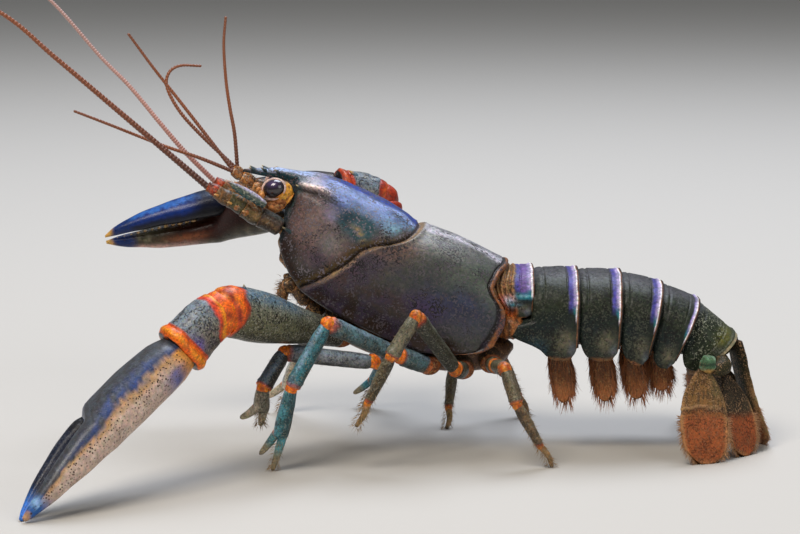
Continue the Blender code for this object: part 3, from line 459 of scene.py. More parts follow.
class Sculpt:
    """Gathers closed tubes with their colours into one piece."""

    def __init__(self) -> None:
        """Starts empty."""
        self.points: list[Array] = []
        self.colours: list[Array] = []
        self.marks: list[Array] = []
        self.faces: list[list[int]] = []
        self.count = 0

    def tube(self, rings: Array, paint: Paint) -> "Sculpt":
        """Adds a tube through rings of points, closed by a fan at each end.

        Args:
            rings: (rings, points around, 3) in millimetres.
            paint: colours on the same grid.

        Returns:
            The sculpt.
        """
        rings = np.array(rings, float)
        rings[..., 2] = np.maximum(rings[..., 2], 0)
        count, around = rings.shape[:2]
        r, k = np.meshgrid(np.arange(count - 1), np.arange(around), indexing="ij")
        n = (k + 1) % around
        quads = np.stack((r * around + k, r * around + n, (r + 1) * around + n, (r + 1) * around + k), -1)
        k = np.arange(around)
        n = (k + 1) % around
        last = (count - 1) * around
        fans = np.vstack((np.stack((n, k, np.full(around, count * around)), -1),
                          np.stack((last + k, last + n, np.full(around, count * around + 1)), -1)))
        self.faces += (quads.reshape(-1, 4) + self.count).tolist() + (fans + self.count).tolist()
        for store, grid in ((self.points, rings), (self.colours, paint.colour), (self.marks, paint.marks)):
            store.append(np.vstack((grid.reshape(-1, 3), grid[0].mean(0), grid[-1].mean(0))))
        self.count += count * around + 2
        return self

    def lumpy(self, rings: Array, wave: Array, depth: float, ground: str, layers: Sequence[tuple],
              marks: Point) -> "Sculpt":
        """Adds a tube whose skin rises and falls with a wave.

        Args:
            rings: the smooth tube.
            wave: one value a point, about zero.
            depth: how far the wave lifts the skin, in millimetres.
            ground: the colour under the layers.
            layers: colours with a mask, or with a strength and the low and high ends of an ease over the wave.
            marks: strengths of pits and specks.

        Returns:
            The sculpt.
        """
        paint = paint_on(rings, ground)
        for code, mask, *ends in layers:
            paint.lay(code, mask * ease(wave, *ends) if ends else mask)
        return self.tube(relief(rings, depth * wave), paint.mark(*marks))

    def spike(self, base: Point, tip: Point, radius: float, code: str, tip_code: str, start: float,
              bend: Mask = 0) -> None:
        """Adds a pointed spine whose middle is moved by bend, and whose tip's colour begins at start."""
        base, tip = np.asarray(base, float), np.asarray(tip, float)
        spine = Sweep((base, 0.5 * (base + tip) + bend, tip),
                      ((0, radius), (0.35, 0.72 * radius), (0.7, 0.4 * radius), (1, 0.06 * radius)), (0.3, 0.2, 0.9),
                      1, (0, 0), 9, 10)
        self.tube(spine.rings(), spine.paint(code).lay(tip_code, ease(spine.along, start, 1)))

    def piece(self, name: str, finish: Finish, nodes: Sequence[str] = (), slot: str | None = None) -> bpy.types.Object:
        """Makes the piece.

        Args:
            name: the piece's name.
            finish: its finish.
            nodes: the solids' nodes that it stands for.
            slot: not used.

        Returns:
            The mesh object.
        """
        mesh = bpy.data.meshes.new(name)
        mesh.from_pydata(((np.vstack(self.points) - CENTRE) * MM).tolist(), [], self.faces)
        work = bmesh.new()
        work.from_mesh(mesh)
        bmesh.ops.recalc_face_normals(work, faces=work.faces)
        work.to_mesh(mesh)
        work.free()
        mesh.shade_smooth()
        store_paint(mesh, np.vstack(self.colours), np.vstack(self.marks))
        mesh.materials.append(finish.build())
        return show(bpy.data.objects.new(name, mesh), nodes)


def store_paint(mesh: bpy.types.Mesh, colours: Array, marks: Array | None = None) -> None:
    """Stores point colours, and marks where they are given, as attributes of a mesh."""
    layer = mesh.attributes.new("paint", "FLOAT_COLOR", "POINT")
    full = np.hstack((colours, np.ones((len(colours), 1))))
    layer.data.foreach_set("color", full.astype(np.float32).ravel())
    if marks is not None:
        layer = mesh.attributes.new("marks", "FLOAT_VECTOR", "POINT")
        layer.data.foreach_set("vector", marks.astype(np.float32).ravel())


def show(made: bpy.types.Object, nodes: Sequence[str] = ()) -> bpy.types.Object:
    """Puts a piece in the scene on the still body, in place of the solids' nodes."""
    bpy.context.scene.collection.objects.link(made)
    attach(made, "root")
    if nodes:
        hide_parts(*nodes)
    LOG.info("%s: %d faces", made.name, len(made.data.polygons))
    return made


# Sweeps and blades

PATH_POINTS = 200  # points on a path before its rings are spaced by length


@dataclass
class Sweep:
    """A tube along a smooth path, with rounded ends.

    Attributes:
        path: points that the middle line passes.
        girth: (place from 0 to 1, radius in millimetres) pairs along it.
        hint: a direction that the section's width leans to.
        depth: how deep the section is for its width.
        ends: how much of the length each end is rounded over.
    """

    path: Sequence[Point]
    girth: Knots
    hint: Point = (0, 1, 0)
    depth: float = 1.1
    ends: tuple[float, float] = (0.06, 0.06)
    count: int = 30
    around: int = 20
    t: Array = field(init=False)
    angle: Array = field(init=False)

    def __post_init__(self) -> None:
        """Sets the places of the rings and the angles around them."""
        even = np.linspace(0, 1, self.count)
        self.t = 0.45 * even + 0.55 * (0.5 - 0.5 * np.cos(math.pi * even))
        self.angle = turn(self.around)

    def rings(self) -> Array:
        """The rings of points, from root to tip."""
        line = smooth_path(self.path, PATH_POINTS)
        reach = distances(line)
        centres = between(line, reach, self.t * reach[-1])
        c, s = np.cos(self.angle)[:, None], np.sin(self.angle)[:, None]
        made = []
        for centre, tangent, t in zip(centres, np.gradient(centres, axis=0), self.t):
            direction = unit(tangent)
            side = square_to(self.hint, direction)
            radius = float(smooth(self.girth, t))
            for share, end in zip((t, 1 - t), self.ends):
                if end and share < end:
                    radius *= math.sqrt(max(1 - (1 - share / end) ** 2, 0.02))
            made.append(centre + radius * (c * side + self.depth * s * np.cross(direction, side)))
        return np.array(made)

    def paint(self, ground: str) -> Paint:
        """A fresh paint on this sweep's grid."""
        return Paint((self.count, self.around), ground)

    @property
    def along(self) -> Array:
        """Places along the sweep, as a column for the paint's masks."""
        return self.t[:, None]


def ball(centre: Point, sizes: Point, axis: Point = (0, 0, 1), count: int = 16,
         around: int = 24, hint: Point = (0.3, 0.9, 0.31)) -> Array:
    """Rings of an egg whose poles lie on an axis.

    Args:
        centre: its middle.
        sizes: half sizes along the axis, across it and square to both.
        axis: the way to its far pole.
        count: rings.
        around: points a ring.
        hint: the way its second size leans.

    Returns:
        The rings, from the far pole to the near one.
    """
    direction = unit(axis)
    side = square_to(hint, direction)
    up = np.cross(direction, side)
    polar = np.linspace(math.radians(6), math.radians(174), count)[:, None, None]
    angle = turn(around)[None, :, None]
    return np.asarray(centre) + (np.cos(polar) * sizes[0] * direction + np.sin(polar) * np.cos(angle) * sizes[1] * side
                                 + np.sin(polar) * np.sin(angle) * sizes[2] * up)


@dataclass
class Blade:
    """A thin curved plate from root to tip, made as a flattened tube.

    Attributes:
        bow: how far its middle stands out of the straight line.
        cup: how far its side edges turn back.
        shift: how far its middle lies to one side.
        shape: (place from root to tip, share of the half width) pairs.
    """

    root: Point
    tip: Point
    across: Point
    half_width: float
    bow: float
    thickness: float
    shape: Knots
    shift: float = 0
    cup: float = 0.12
    rows: int = 44
    columns: int = 27
    t: Array = field(init=False)
    u: Array = field(init=False)

    def __post_init__(self) -> None:
        """Sets the grid: t runs to the tip and u from edge to edge, over the front and back."""
        line = np.sin(np.linspace(-0.5, 0.5, self.columns) * math.pi)
        self.u = np.concatenate((line, line[::-1]))[None, :]
        self.t = np.linspace(0, 1, self.rows)[:, None]

    def rings(self, ribs: float = 0, ridge: float = 0.22) -> Array:
        """The rings of points, over the front and back across the back.

        Args:
            ribs: height of the fine ribs that run to the tip.
            ridge: height of the ridge down the middle.

        Returns:
            The rings, from root to tip.
        """
        root, tip = np.asarray(self.root, float), np.asarray(self.tip, float)
        along = unit(tip - root)
        across = square_to(self.across, along)
        out = np.cross(across, along)
        length = np.linalg.norm(tip - root)
        front = np.concatenate((np.ones(self.columns), -np.ones(self.columns)))[None, :]
        t, u = self.t, self.u
        width = self.half_width * smooth(self.shape, t)
        round_end = 1 - 0.08 * u * u * smooth(((0, 0), (0.6, 0.1), (1, 1)), t)
        half = 0.5 * self.thickness * (1.25 - 0.35 * t) * (1 - 0.45 * u**4) * np.sqrt(np.maximum(1 - u**10, 0.04))
        rise = ridge * hill(u, 0, 0.16) * (1 - 0.7 * t) * (front > 0)
        rise = rise + ribs * np.cos(u * 34) * ease(t, 0.15, 0.5) * (1 - abs(u) ** 3) * (front > 0)
        offset = self.bow * np.sin(math.pi * t) - self.cup * width * u * u + front * half + rise
        shift = width * u + self.shift * np.sin(math.pi * t)
        return (root + along * (t * length * round_end)[..., None] + across * shift[..., None]
                + out * offset[..., None])

    def paint(self, ground: str) -> Paint:
        """A fresh paint on this blade's grid."""
        return Paint((self.rows, 2 * self.columns), ground)


# Plates: half a section runs over the back, down the side, round the rim and to the middle

ARCH = np.radians(np.linspace(0, 90, 24))
LOWER = np.radians(np.linspace(0, 90, 16))[1:]
BELLY_SHARES = vec(0.75, 0.5, 0.25, 0)
FULLNESS = 0.88
HALF = len(ARCH) + len(LOWER) + 2 + len(BELLY_SHARES)
OUTSIDE = len(ARCH) + len(LOWER) + 1  # points from the top of the back to the rim
SETTLING = 16  # rounds until a ring's points lie on the line that they are asked to follow


def plate_section(top: Array, wide: Array, low: Array, belly: Array, half_width: Array,
                  low_width: Array, rim: Array) -> tuple[Array, Array]:
    """Half of an arched plate's section.

    Args:
        top: height of the back.
        wide: height of the widest place.
        low: height of the lower edge.
        belly: height of the hollow under it.
        half_width: half width at the widest place.
        low_width: half width at the lower edge.
        rim: how wide the lower edge is.

    Returns:
        (y, h) of each point. Each size is a number or has one value a point.
    """
    top, wide, low, belly, half_width, low_width, rim = (
        np.broadcast_to(np.asarray(v, float), (HALF,)) for v in (top, wide, low, belly, half_width, low_width, rim))
    a, b = slice(0, len(ARCH)), slice(len(ARCH), len(ARCH) + len(LOWER))
    c = slice(b.stop, b.stop + 2)
    d = slice(c.stop, HALF)
    y, h = np.empty(HALF), np.empty(HALF)
    y[a] = half_width[a] * np.sin(ARCH) ** FULLNESS
    h[a] = wide[a] + (top[a] - wide[a]) * np.maximum(np.cos(ARCH), 0) ** FULLNESS
    y[b] = low_width[b] + (half_width[b] - low_width[b]) * np.cos(LOWER)
    h[b] = wide[b] + (low[b] - wide[b]) * np.sin(LOWER)
    y[c] = low_width[c] - rim[c] * vec(1, 1.2)
    h[c] = (low[c][0], belly[c][1])
    y[d] = (low_width[d] - 1.2 * rim[d]) * BELLY_SHARES
    h[d] = belly[d]
    return y, h


def both_sides(half: Array, flip: Mask = 1) -> Array:
    """A full ring of values from its left half, with the right half mirrored by flip."""
    return np.concatenate((half, (half[1:-1] * flip)[::-1]))


@dataclass
class Carapace:
    """The back shell in one piece: rostrum, cheeks, cervical groove and the flanks over the gills.

    It is worked out in a frame pitched nose up, where s runs back from the rostrum's tip and h
    points out of the back.
    """

    tip: Triple = (-24.8, 0, 44.7)
    pitch: float = math.radians(25)
    top: Knots = ((0, 0), (3, 1.4), (6.8, 3), (11.7, 4.4), (16.3, 4.9), (21, 4.9), (25.8, 4.5), (29.3, 4),
                  (31.7, 4.3), (37.4, 4.6), (44.5, 4.3), (48, 4))
    low: Knots = ((0, -0.6), (3, 0.2), (6.8, 1.2), (8, 0.3), (9, -4.4), (10, -7.8), (13.1, -11.2), (16.3, -12.9),
                  (20, -13.5), (26, -13.9), (36, -13.7), (41.6, -11.9), (45.3, -10.2), (48, -7.6))
    belly: Knots = ((0, -0.3), (3, 0.5), (6.8, 1.5), (8, 0.7), (9, -3.7), (10, -7), (13.1, -10.3), (16.3, -12),
                    (20, -12.3), (24, -11.4), (34, -11), (41, -8.8), (45, -7), (48, -5.2))
    wide: Knots = ((0, -0.2), (5, 1.7), (8, 1.8), (10, -0.6), (14, -2.4), (20, -4), (48, -4))
    half_width: Knots = ((0, 0.3), (2, 0.9), (5, 1.9), (8, 2.8), (9, 4.3), (10, 5.7), (12, 7), (16, 8.6),
                         (20, 9.5), (26, 10.2), (33, 10.6), (40, 10.4), (44.5, 9.9), (48, 9.4))
    low_width: Knots = ((0, 0.22), (2, 0.7), (5, 1.4), (8, 2.2), (10, 4.2), (13, 5.6), (16, 6.9), (20, 7.9),
                        (26, 8.6), (35, 8.9), (42, 8.8), (48, 8.4))
    groove: Knots = ((-14, 15), (-12.5, 15.9), (-10.5, 17.6), (-7.3, 19.8), (-5.3, 21.1), (-3.2, 21.9),
                     (-1.4, 23.4), (0.3, 26), (2.1, 28), (4.2, 29.3))
    rear: Knots = ((-14, 40), (-11.7, 41.8), (-9.8, 45.3), (-7.7, 47.2), (-4.6, 47.4), (-1.9, 46.4),
                   (-0.5, 44.2), (0.7, 43.2), (2.8, 43.4), (4.4, 44.5))
    crest: Knots = ((8.4, 1.55), (10.5, 2.15), (12.6, 2.65), (14.5, 2.7), (17.2, 2.3), (19, 1.6))
    spines: Knots = ((1.8, 0.75, 0.5, 1.2), (3.6, 1.3, 1.3, 1.3), (5.6, 1.9, 2, 1.2), (9.9, 4.9, 1.6, 1.4),
                     (10.9, 6.2, -5.2, 1.6))
    spine_rise: float = 0.12

    @property
    def axis(self) -> Array:
        """The way back along the shell."""
        return np.array((math.cos(self.pitch), 0, -math.sin(self.pitch)))

    @property
    def back(self) -> Array:
        """The way out of its back."""
        return np.array((math.sin(self.pitch), 0, math.cos(self.pitch)))

    def point(self, s: Mask, y: Mask, h: Mask) -> Array:
        """Points of the shell's frame in the modelling frame."""
        s, y, h = (np.asarray(v, float)[..., None] for v in (s, y, h))
        return np.array(self.tip) + s * self.axis + y * SIDE + h * self.back

    def section(self, places: Array) -> tuple[Array, Array]:
        """(y, h) of a half ring whose points each have their own s."""
        lines = (self.top, self.wide, self.low, self.belly, self.half_width, self.low_width)
        sizes = [smooth(line, places) for line in lines]
        return plate_section(*sizes, np.minimum(0.9, 0.35 * sizes[-1]))

    def edge(self, line: Knots, guess: float) -> Array:
        """The s of each point of a half ring along a line given as s for each h."""
        places = np.full(HALF, guess)
        for _ in range(SETTLING):
            places = 0.5 * places + 0.5 * smooth(line, self.section(places)[1])
        return places

    def grid(self) -> tuple[Array, Array, Array, Array]:
        """s, y, h and the share of the way from the groove to the rear edge, for each point."""
        groove, rear = self.edge(self.groove, 22), self.edge(self.rear, 45)
        rows = [(np.full(HALF, s), -1) for s in np.concatenate((np.linspace(0, 8, 26), np.linspace(8.2, 13.5, 26)))]
        for t in 1 - (1 - np.linspace(0, 1, 27)[1:]) ** 1.5:
            rows.append((13.5 + t * (groove - 13.5), t - 1))
        for t in np.concatenate((np.linspace(0, 1, 44)[1:-1] ** 1.25 * 0.92, np.linspace(0.925, 1, 14))):
            rows.append((groove + t * (rear - groove), t))
        s, y, h = [], [], []
        for places, _ in rows:
            across, height = self.section(places)
            s.append(both_sides(places))
            y.append(both_sides(-across, -1))
            h.append(both_sides(height))
        share = np.repeat(vec(*(t for _, t in rows))[:, None], 2 * (HALF - 1), axis=1)
        return np.array(s), np.array(y), np.array(h), share

    def lift(self, s: Array, y: Array, h: Array, share: Array) -> Array:
        """How far each point stands out for the grooves, ridges and rims."""
        from_groove = s - smooth(self.groove, h)
        low, crest = smooth(self.low, s), smooth(self.crest, s)
        outer = ease(h, low - 0.1, low + 0.6)
        lift = (-0.62 * hill(from_groove, 0, 0.42) + 0.2 * hill(from_groove, 0.85, 0.4)
                - 0.14 * hill(from_groove, -1.3, 0.7)) * outer
        lift += 0.46 * hill(h, crest, 0.4) * ease(s, 8.4, 9.2) * ease(s, 16.5, 12.5)
        lift -= 0.34 * hill(h, crest - 0.75, 0.34) * ease(s, 8.8, 9.8) * ease(s, 17.5, 13.5)
        edge = abs(y) / smooth(self.half_width, s)
        on_top = ease(h, smooth(self.wide, s) - 0.1, smooth(self.wide, s) + 0.4)
        lift += 0.3 * hill(edge, 0.9, 0.14) * on_top * ease(s, 1, 2.5) * ease(s, 12.5, 9)
        lift -= 0.34 * hill(edge, 0, 0.5) * on_top * ease(s, 1.5, 4) * ease(s, 11.5, 8.5)
        lift += 0.22 * hill(h, low + 0.5, 0.5) * ease(s, 9, 11)
        lift -= 0.14 * hill(h, low + 1.5, 0.45) * ease(s, 10, 12)
        lift -= 0.24 * hill(share, 0.95, 0.012) * outer
        lift += 0.14 * hill(share, 0.985, 0.016) * outer
        lift -= 0.1 * hill(abs(y), 1.5, 0.3) * ease(share, 0.06, 0.12) * ease(share, 0.9, 0.8) * (h > 0)
        place = self.point(s, y, h)
        rough = ease(from_groove, 0.2, -0.4) * ease(h, 2.6, 1.2) * ease(s, 8.5, 10.5)
        lift += 0.06 * ripple(place, 9, 3) + (0.02 + 0.05 * rough) * ripple(place, 2, 4)
        return lift + 0.16 * spot(s, 9.3, 0.5, ripple(place, 1.6, 5), 1, 0.5) * (h < 0.4)

    def coloured(self, s: Array, y: Array, h: Array, share: Array) -> Paint:
        """The shell's markings: brown-mauve cheeks, blue back and slate flanks, with painted shade low down, in the
        groove and under the eye ridge, and painted highlights along the top, on the eye ridge and on the groove's rear
        lip.
        """
        place = self.point(s, y, h)
        wander, small = ripple(place, 7, 11), ripple(place, 2.6, 12)
        from_groove = s - smooth(self.groove, h)
        below = smooth(self.top, s) - h + 0.12 * wander + 0.06 * small
        crest = smooth(self.crest, s)
        high = h - crest
        front = ease(from_groove, 0.12, -0.12)
        rear = 1 - front
        s, h = s + 0.3 * wander, h + 0.35 * wander + 0.15 * small
        paint = Paint(s.shape, "#3F413C")
        paint.lay_all((
            ("#444C42", rear * spot(share, 0.8, 0.25, h, 0, 3.2)),
            ("#7A7C77", rear * ease(below, 4.5, 0.9) * ease(share, 0.95, 0.1)),
            ("#644A40", 0.8 * rear * spot(share, 0.1, 0.14, h, -0.6, 2.6)),
            ("#45342C", rear * ease(share, 0.28, 0.05) * ease(h, -1.5, -5)),
            ("#282C40", rear * spot(share, 0.7, 0.26, h, -4.4, 2.6)),
            ("#4A5478", 0.4 * rear * spot(share, 0.74, 0.2, h, -4, 2) * ease(small, 0.1, 0.7)),
            ("#3E3250", rear * spot(share, 0.52, 0.16, h, -7.2, 1.8)),
            # 241409 is painted shade along the bottom of the shell.
            ("#33241E", rear * spot(share, 0.32, 0.2, h, -8.2, 2.2)), ("#241409", ease(h, -8.6, -11.2)),
            # Painted highlight: a pale line just below the top of the rear shell.
            ("#D2CFDC", 0.7 * rear * hill(below, 0.22, 0.2) * ease(share, 0.02, 0.08)),
            ("#5C4844", front * ease(h, -10.5, -6)), ("#74605C", front * spot(s, 13.8, 2.6, h, -2.6, 2.6)),
            ("#72706E", 0.8 * front * spot(s, 17, 1.9, h, -4, 1.6)),
            ("#3E3440", 0.9 * front * spot(s, 16.4, 2.4, h, -7, 1.8)),
            ("#7A6E92", 0.9 * front * spot(s, 15.9, 1.5, h, 0.3, 1.1)),
            # Painted shade over the lower front of the cheek.
            ("#22120C", front * ease(h, -4.5, -7.5) * ease(s + 0.5 * (h + 8), 15, 11)),
            ("#182420", front * ease(s, 10.2, 9.3) * ease(h, 0.6, -0.8)),
            ("#86A49C", 0.7 * front * spot(s, 9.4, 0.5, small, 0.9, 0.5) * ease(h, -5, -3)),
            ("#8F8A98", front * ease(high, 0.2, 0.7) * ease(s, 18, 11)),
            ("#7788B4", front * ease(s, 12.5, 16) * ease(below, 3.8, 2.2)),
            ("#6070A8", front * ease(s, 10.5, 14) * ease(below, 2.4, 1.3)),
            ("#46508E", 0.85 * front * spot(s, 16.6, 1.5, h, 2, 0.7)),
            ("#5A7A84", 0.9 * front * ease(s, 21.5, 25.5) * ease(below, 4.6, 2.4)),
            ("#6A80B4", 0.8 * front * ease(s, 13, 16) * hill(below, 0.95, 0.6) * ease(s, 29, 25)),
            ("#24484E", np.clip(front * 1.8 * spot(s, 19.8, 3, h, 0.3, 2), 0, 0.95)),
            ("#0C2A38", np.clip(front * 1.4 * spot(s, 18.9, 2.2, h, 0.5, 1.5), 0, 0.95) * ease(small, -0.5, 0.3)),
            ("#A08458", 0.8 * front * spot(s, 20.6, 1.5, h + 0.33 * (s - 19), 0.1, 0.24)),
            # Painted highlight along the ridge behind the eye, and painted shadow in the dent below it.
            ("#F0D8D0", 0.95 * front * hill(high, 0.15, 0.32) * ease(s, 8.6, 9.2) * ease(s, 15, 12.5)),
            ("#0E0C0C", hill(high, -0.6, 0.36) * ease(s, 8.6, 9.4) * ease(s, 18, 14.5)),
            ("#173A44", ease(s, 10.5, 8.5) * ease(below, 0.3, 0.6)),
            # Painted highlights: a pale line along the rostrum's top edge, and a pale blue line just below the top of
            # the head.
            ("#9BB0D8", ease(s, 12, 9) * ease(s, 0.5, 2) * ease(below, 0.5, 0.2)),
            ("#8FA4DC", front * ease(s, 12, 15) * hill(below, 0.42, 0.2)),
            ("#18348C", front * ease(s, 12, 15) * ease(below, 0.3, 0.12)),
            ("#2C4466", 0.7 * front * ease(s, 11, 14) * ease(small, -0.1, -0.9) * ease(below, 2.6, 1.6)),
            ("#40300F", 0.9 * front * ease(from_groove, -2.4, -1) * ease(h, 3.6, 2.6)),
            # Painted shade inside the groove, and a painted tan highlight on its raised rear lip.
            ("#221A10", 0.9 * front * ease(from_groove, -0.75, -0.25)),
            ("#94795A", rear * ease(from_groove, 0.95, 0.35) * ease(h, -13, -10)),
            ("#8E9098", 0.6 * hill(y, 0, 0.3) * ease(share, 0.03, 0.1) * (h > 0)),
            ("#15100E", ease(share, 0.925, 0.945)), ("#80502C", ease(share, 0.962, 0.974)),))
        return paint.mark(0.95, 0.16 + 0.16 * front, 0.3 * rear * ease(h, 0, -4))

    def build(self) -> None:
        """The shell with its spines."""
        s, y, h, share = self.grid()
        rings = relief(self.point(s, y, h), self.lift(s, y, h, share))
        sculpt = Sculpt().tube(rings, self.coloured(s, y, h, share))
        for side in (-1, 1):
            for place, across, height, reach in self.spines:
                root = self.point(place, side * (across - 0.3), height - 0.1)
                end = self.point(place - reach, side * (across + 0.45), height + self.spine_rise * reach)
                sculpt.spike(root, end, 0.4, "#2A3C40", "#C9B48A", 0.6)
        sculpt.piece("carapace", CARAPACE_FINISH, ("head", "thorax"), "shell")


SHELL = Carapace()


@dataclass
class TailRing:
    """One of the six belly rings, whose rear edge laps over the next."""

    number: int
    planes: ClassVar[Knots] = ((17.7, 29.2, 2), (21.3, 29, 2), (28.3, 28.7, 2), (35.2, 28.3, 4), (41.9, 26.5, 14),
                               (47.8, 23.8, 26), (53.8, 18.2, 50))
    depths: ClassVar[tuple] = (7.3, 13.6, 13.3, 12.8, 11.6, 8.7)
    half_widths: ClassVar[tuple] = (7.6, 9.2, 9.2, 8.9, 8.3, 7)
    roofs: ClassVar[tuple] = (5.6, 9.4, 9.3, 9, 8, 6.6)
    lobe_sweep: ClassVar[float] = 3.6
    lobe_heights: ClassVar[Knots] = ((15, -0.5), (17, 0), (18.4, 0.7), (19.8, 1), (20.8, 0.7), (21.5, 0), (29, 0))
    lobe: ClassVar[Knots] = ((0, 0.76), (0.25, 0.95), (0.6, 1), (0.85, 0.98), (1, 0.84))
    overlap: ClassVar[float] = 0.045
    arcs: ClassVar[float] = 42.0

    @staticmethod
    def shell_rear(z: Array) -> Array:
        """Where along X the shell's rear face stands at each height."""
        edge = sorted((float(p[2]), float(p[0])) for p in (SHELL.point(s, 0, h) for h, s in SHELL.rear))
        return smooth(edge, z)

    def half_ring(self, t: float) -> Array:
        """Half a ring of points at t along; past 1 it laps over the next ring."""
        n = self.number - 1
        front, rear = (np.array(self.planes[n + k], float) for k in (0, 1))
        tilt = math.radians(front[2] + t * (rear[2] - front[2]))
        along = np.array((math.cos(tilt), 0, -math.sin(tilt)))
        down = np.array((-math.sin(tilt), 0, -math.cos(tilt)))
        top = front[:2] + t * (rear[:2] - front[:2])
        middle = vec(top[0], 0, top[1]) + 0.15 * (1 - 2 * t) * along
        step = float(smooth(((-0.1, 0.85), (0, 0.6), (0.12, 0.3), (0.5, 0.1), (0.9, 0), (1.1, -0.12)), t))
        depth = self.depths[n]
        width = self.half_widths[n] - step
        low = depth * float(smooth(self.lobe, min(max(t, 0), 1)))
        y, h = plate_section(-step, -0.5 * depth, -low, -min(self.roofs[n], low - 0.7), width, 0.96 * width, 0.9)
        half = middle - y[:, None] * SIDE - h[:, None] * down
        if self.number == 1 and t < 1:
            half[:, 0] += (1 - t) * (self.shell_rear(half[:, 2]) + 0.2 - middle[0])
        if self.number == 2:
            pull = self.lobe_sweep * max(0, 1 - 2.5 * max(t, 0)) * smooth(self.lobe_heights, half[:, 2])
            half[:OUTSIDE, 0] -= pull[:OUTSIDE]
        return half

    def build(self) -> None:
        """The ring with its band, pale edge and side plates."""
        places = np.concatenate((np.linspace(-0.05, 0.7, 34), np.linspace(0.715, 1 + self.overlap, 40)))
        rings = np.array([both_sides(self.half_ring(t), (1, -1, 1)) for t in places])
        t = places[:, None]
        half = np.concatenate((np.arange(HALF), np.arange(1, HALF - 1)[::-1]))
        down = np.clip((rings[:, :1, 2] - rings[..., 2]) / self.depths[self.number - 1], 0, 1)
        outside = (half < len(ARCH) + len(LOWER))[None, :]
        lift = 0.16 * hill(t, 0.965, 0.04) - 0.12 * hill(t, 0.75, 0.02) * ease(down, 0.5, 0.35)
        lift = lift + 0.45 * spot(down, 0.78, 0.16, t, 0.5, 0.3) - 0.2 * hill(down, 0.56, 0.035) * ease(
            t, 0.1, 0.3) * ease(t, 0.95, 0.8)
        lift -= 0.16 * hill(t, 0.2, 0.025) * ease(down, 0.6, 0.4)
        lift += 0.24 * spot(down, 0.36, 0.05, t, 0.86, 0.12) + 0.12 * ripple(rings, 1.3, 9) * hill(down, 0.38, 0.09)
        if self.number == 1:
            lift = lift + 0.2 * np.cos(t * self.arcs) * ease(t, 0.66, 0.56) + 0.55 * spot(
                t, 0.4, 0.16, down, 0.63, 0.09)
        lift = (lift + 0.05 * ripple(rings, 5, self.number) + 0.03 * ripple(rings, 1.6, 8)) * outside
        Sculpt().tube(relief(rings, lift), self.coloured(t, down, rings)).piece(
            f"tail_ring_{self.number}_plate", RING_FINISH, (f"tail_segment_{self.number}",), "belly_ring")

    def coloured(self, t: Array, down: Array, rings: Array) -> Paint:
        """Dark olive ring with a purple band that turns teal down the side, then a pale edge; a painted sheen along
        its top and, on the first five, painted shadow past the edge that laps over the next ring.
        """
        wander, small = ripple(rings, 4, 20 + self.number), ripple(rings, 1.5, 6)
        down, t = down + 0.012 * wander, t + 0.01 * wander
        paint = paint_on(rings, "#1E2418")
        paint.lay_all((
            # 46464C is a painted sheen along the top of the ring.
            ("#32382C", 0.6 * ease(small, 0.1, 0.8)), ("#46464C", 0.8 * ease(down, 0.09, 0.015)),
            ("#16201C", ease(down, 0.35, 0.5)), ("#5E5A48", 0.9 * spot(down + 0.02 * small, 0.76, 0.13, t, 0.7, 0.24)),
            ("#5E6468", 0.8 * spot(down, 0.86, 0.07, t, 0.9, 0.1)), ("#141C1E", spot(down, 0.6, 0.05, t, 0.35, 0.25)),
            ("#24404E", 0.8 * spot(down, 0.84, 0.1, t, 0.2, 0.12) * (self.number == 2)),
            ("#8A5A34", 0.7 * ease(down, 0.93, 0.98)),))
        if self.number == 1:
            arcs = ease(t, 0.68, 0.58)
            paint.lay_all((
                # 5C3820 is painted shade in the furrows between the raised arcs.
                ("#8E6A42", arcs), ("#5C3820", 0.8 * arcs * ease(np.cos(t * self.arcs), 0.2, -0.8)),
                ("#B8602C", arcs * ease(down, 0.4, 0.55)), ("#C8421C", spot(t, 0.22, 0.1, down, 0.58, 0.06)),
                # C4CCDC is a painted highlight on the raised knob; #2E8AA0 is its teal.
                ("#C4CCDC", spot(t, 0.42, 0.2, down, 0.6, 0.09)), ("#2E8AA0", spot(t, 0.5, 0.2, down, 0.68, 0.06)),
                ("#141416", spot(t, 0.45, 0.2, down, 0.8, 0.07))))
        if self.number < 6:
            start = {1: 0.62, 5: 0.88}.get(self.number, 0.765)
            band = ease(t + 0.012 * small, start - 0.02, start + 0.05)
            first = float(self.number == 1)
            paint.lay_all((
                ("#2A8CA4", first * spot(t, 0.82, 0.2, down, 0.5, 0.08)),
                ("#8AB8C4", 0.8 * first * spot(t, 0.8, 0.12, down, 0.48, 0.025)),
                ("#0E1418", first * spot(t, 0.8, 0.3, down, 0.63, 0.07)), ("#3E3A84", band * ease(down, 0.46, 0.34)),
                ("#6A4E8A", 0.8 * first * band * ease(down, 0.46, 0.34) * ease(t, 0.68, 0.78)),
                ("#8478AA", band * ease(t, 0.84, 0.92) * ease(down, 0.42, 0.3)),
                ("#B4AACC", 0.8 * band * ease(t, 0.87, 0.95) * ease(down, 0.42, 0.2)),
                ("#2E8A92", ease(t + 0.9 * (0.42 - down), 0.86, 0.95) * hill(down, 0.43, 0.055)),
                ("#E2DCE0", ease(t, 0.945, 0.955) * ease(down, 0.56, 0.46)), ("#7A5238", ease(t, 0.978, 0.986)),
                # Painted shadow past the rear edge, where the ring laps over the next.
                ("#1C1814", ease(t, 1, 1.02))))
        else:
            paint.lay_all((("#20281A", ease(t, 0.1, 0.3)), ("#5A5A20", 0.85 * spot(t, 0.78, 0.16, down, 0.12, 0.14)),
                           ("#A89A78", 0.8 * ease(t, 0.97, 0.99) * ease(down, 0.5, 0.4)),
                           ("#6A5230", ease(down, 0.8, 0.95))))
        plain = ease(t, 0.8, 0.74)
        return paint.mark(0.3 + 0.4 * plain, (0.14 if self.number < 6 else 0.8) * (0.2 + 0.8 * plain), 0)


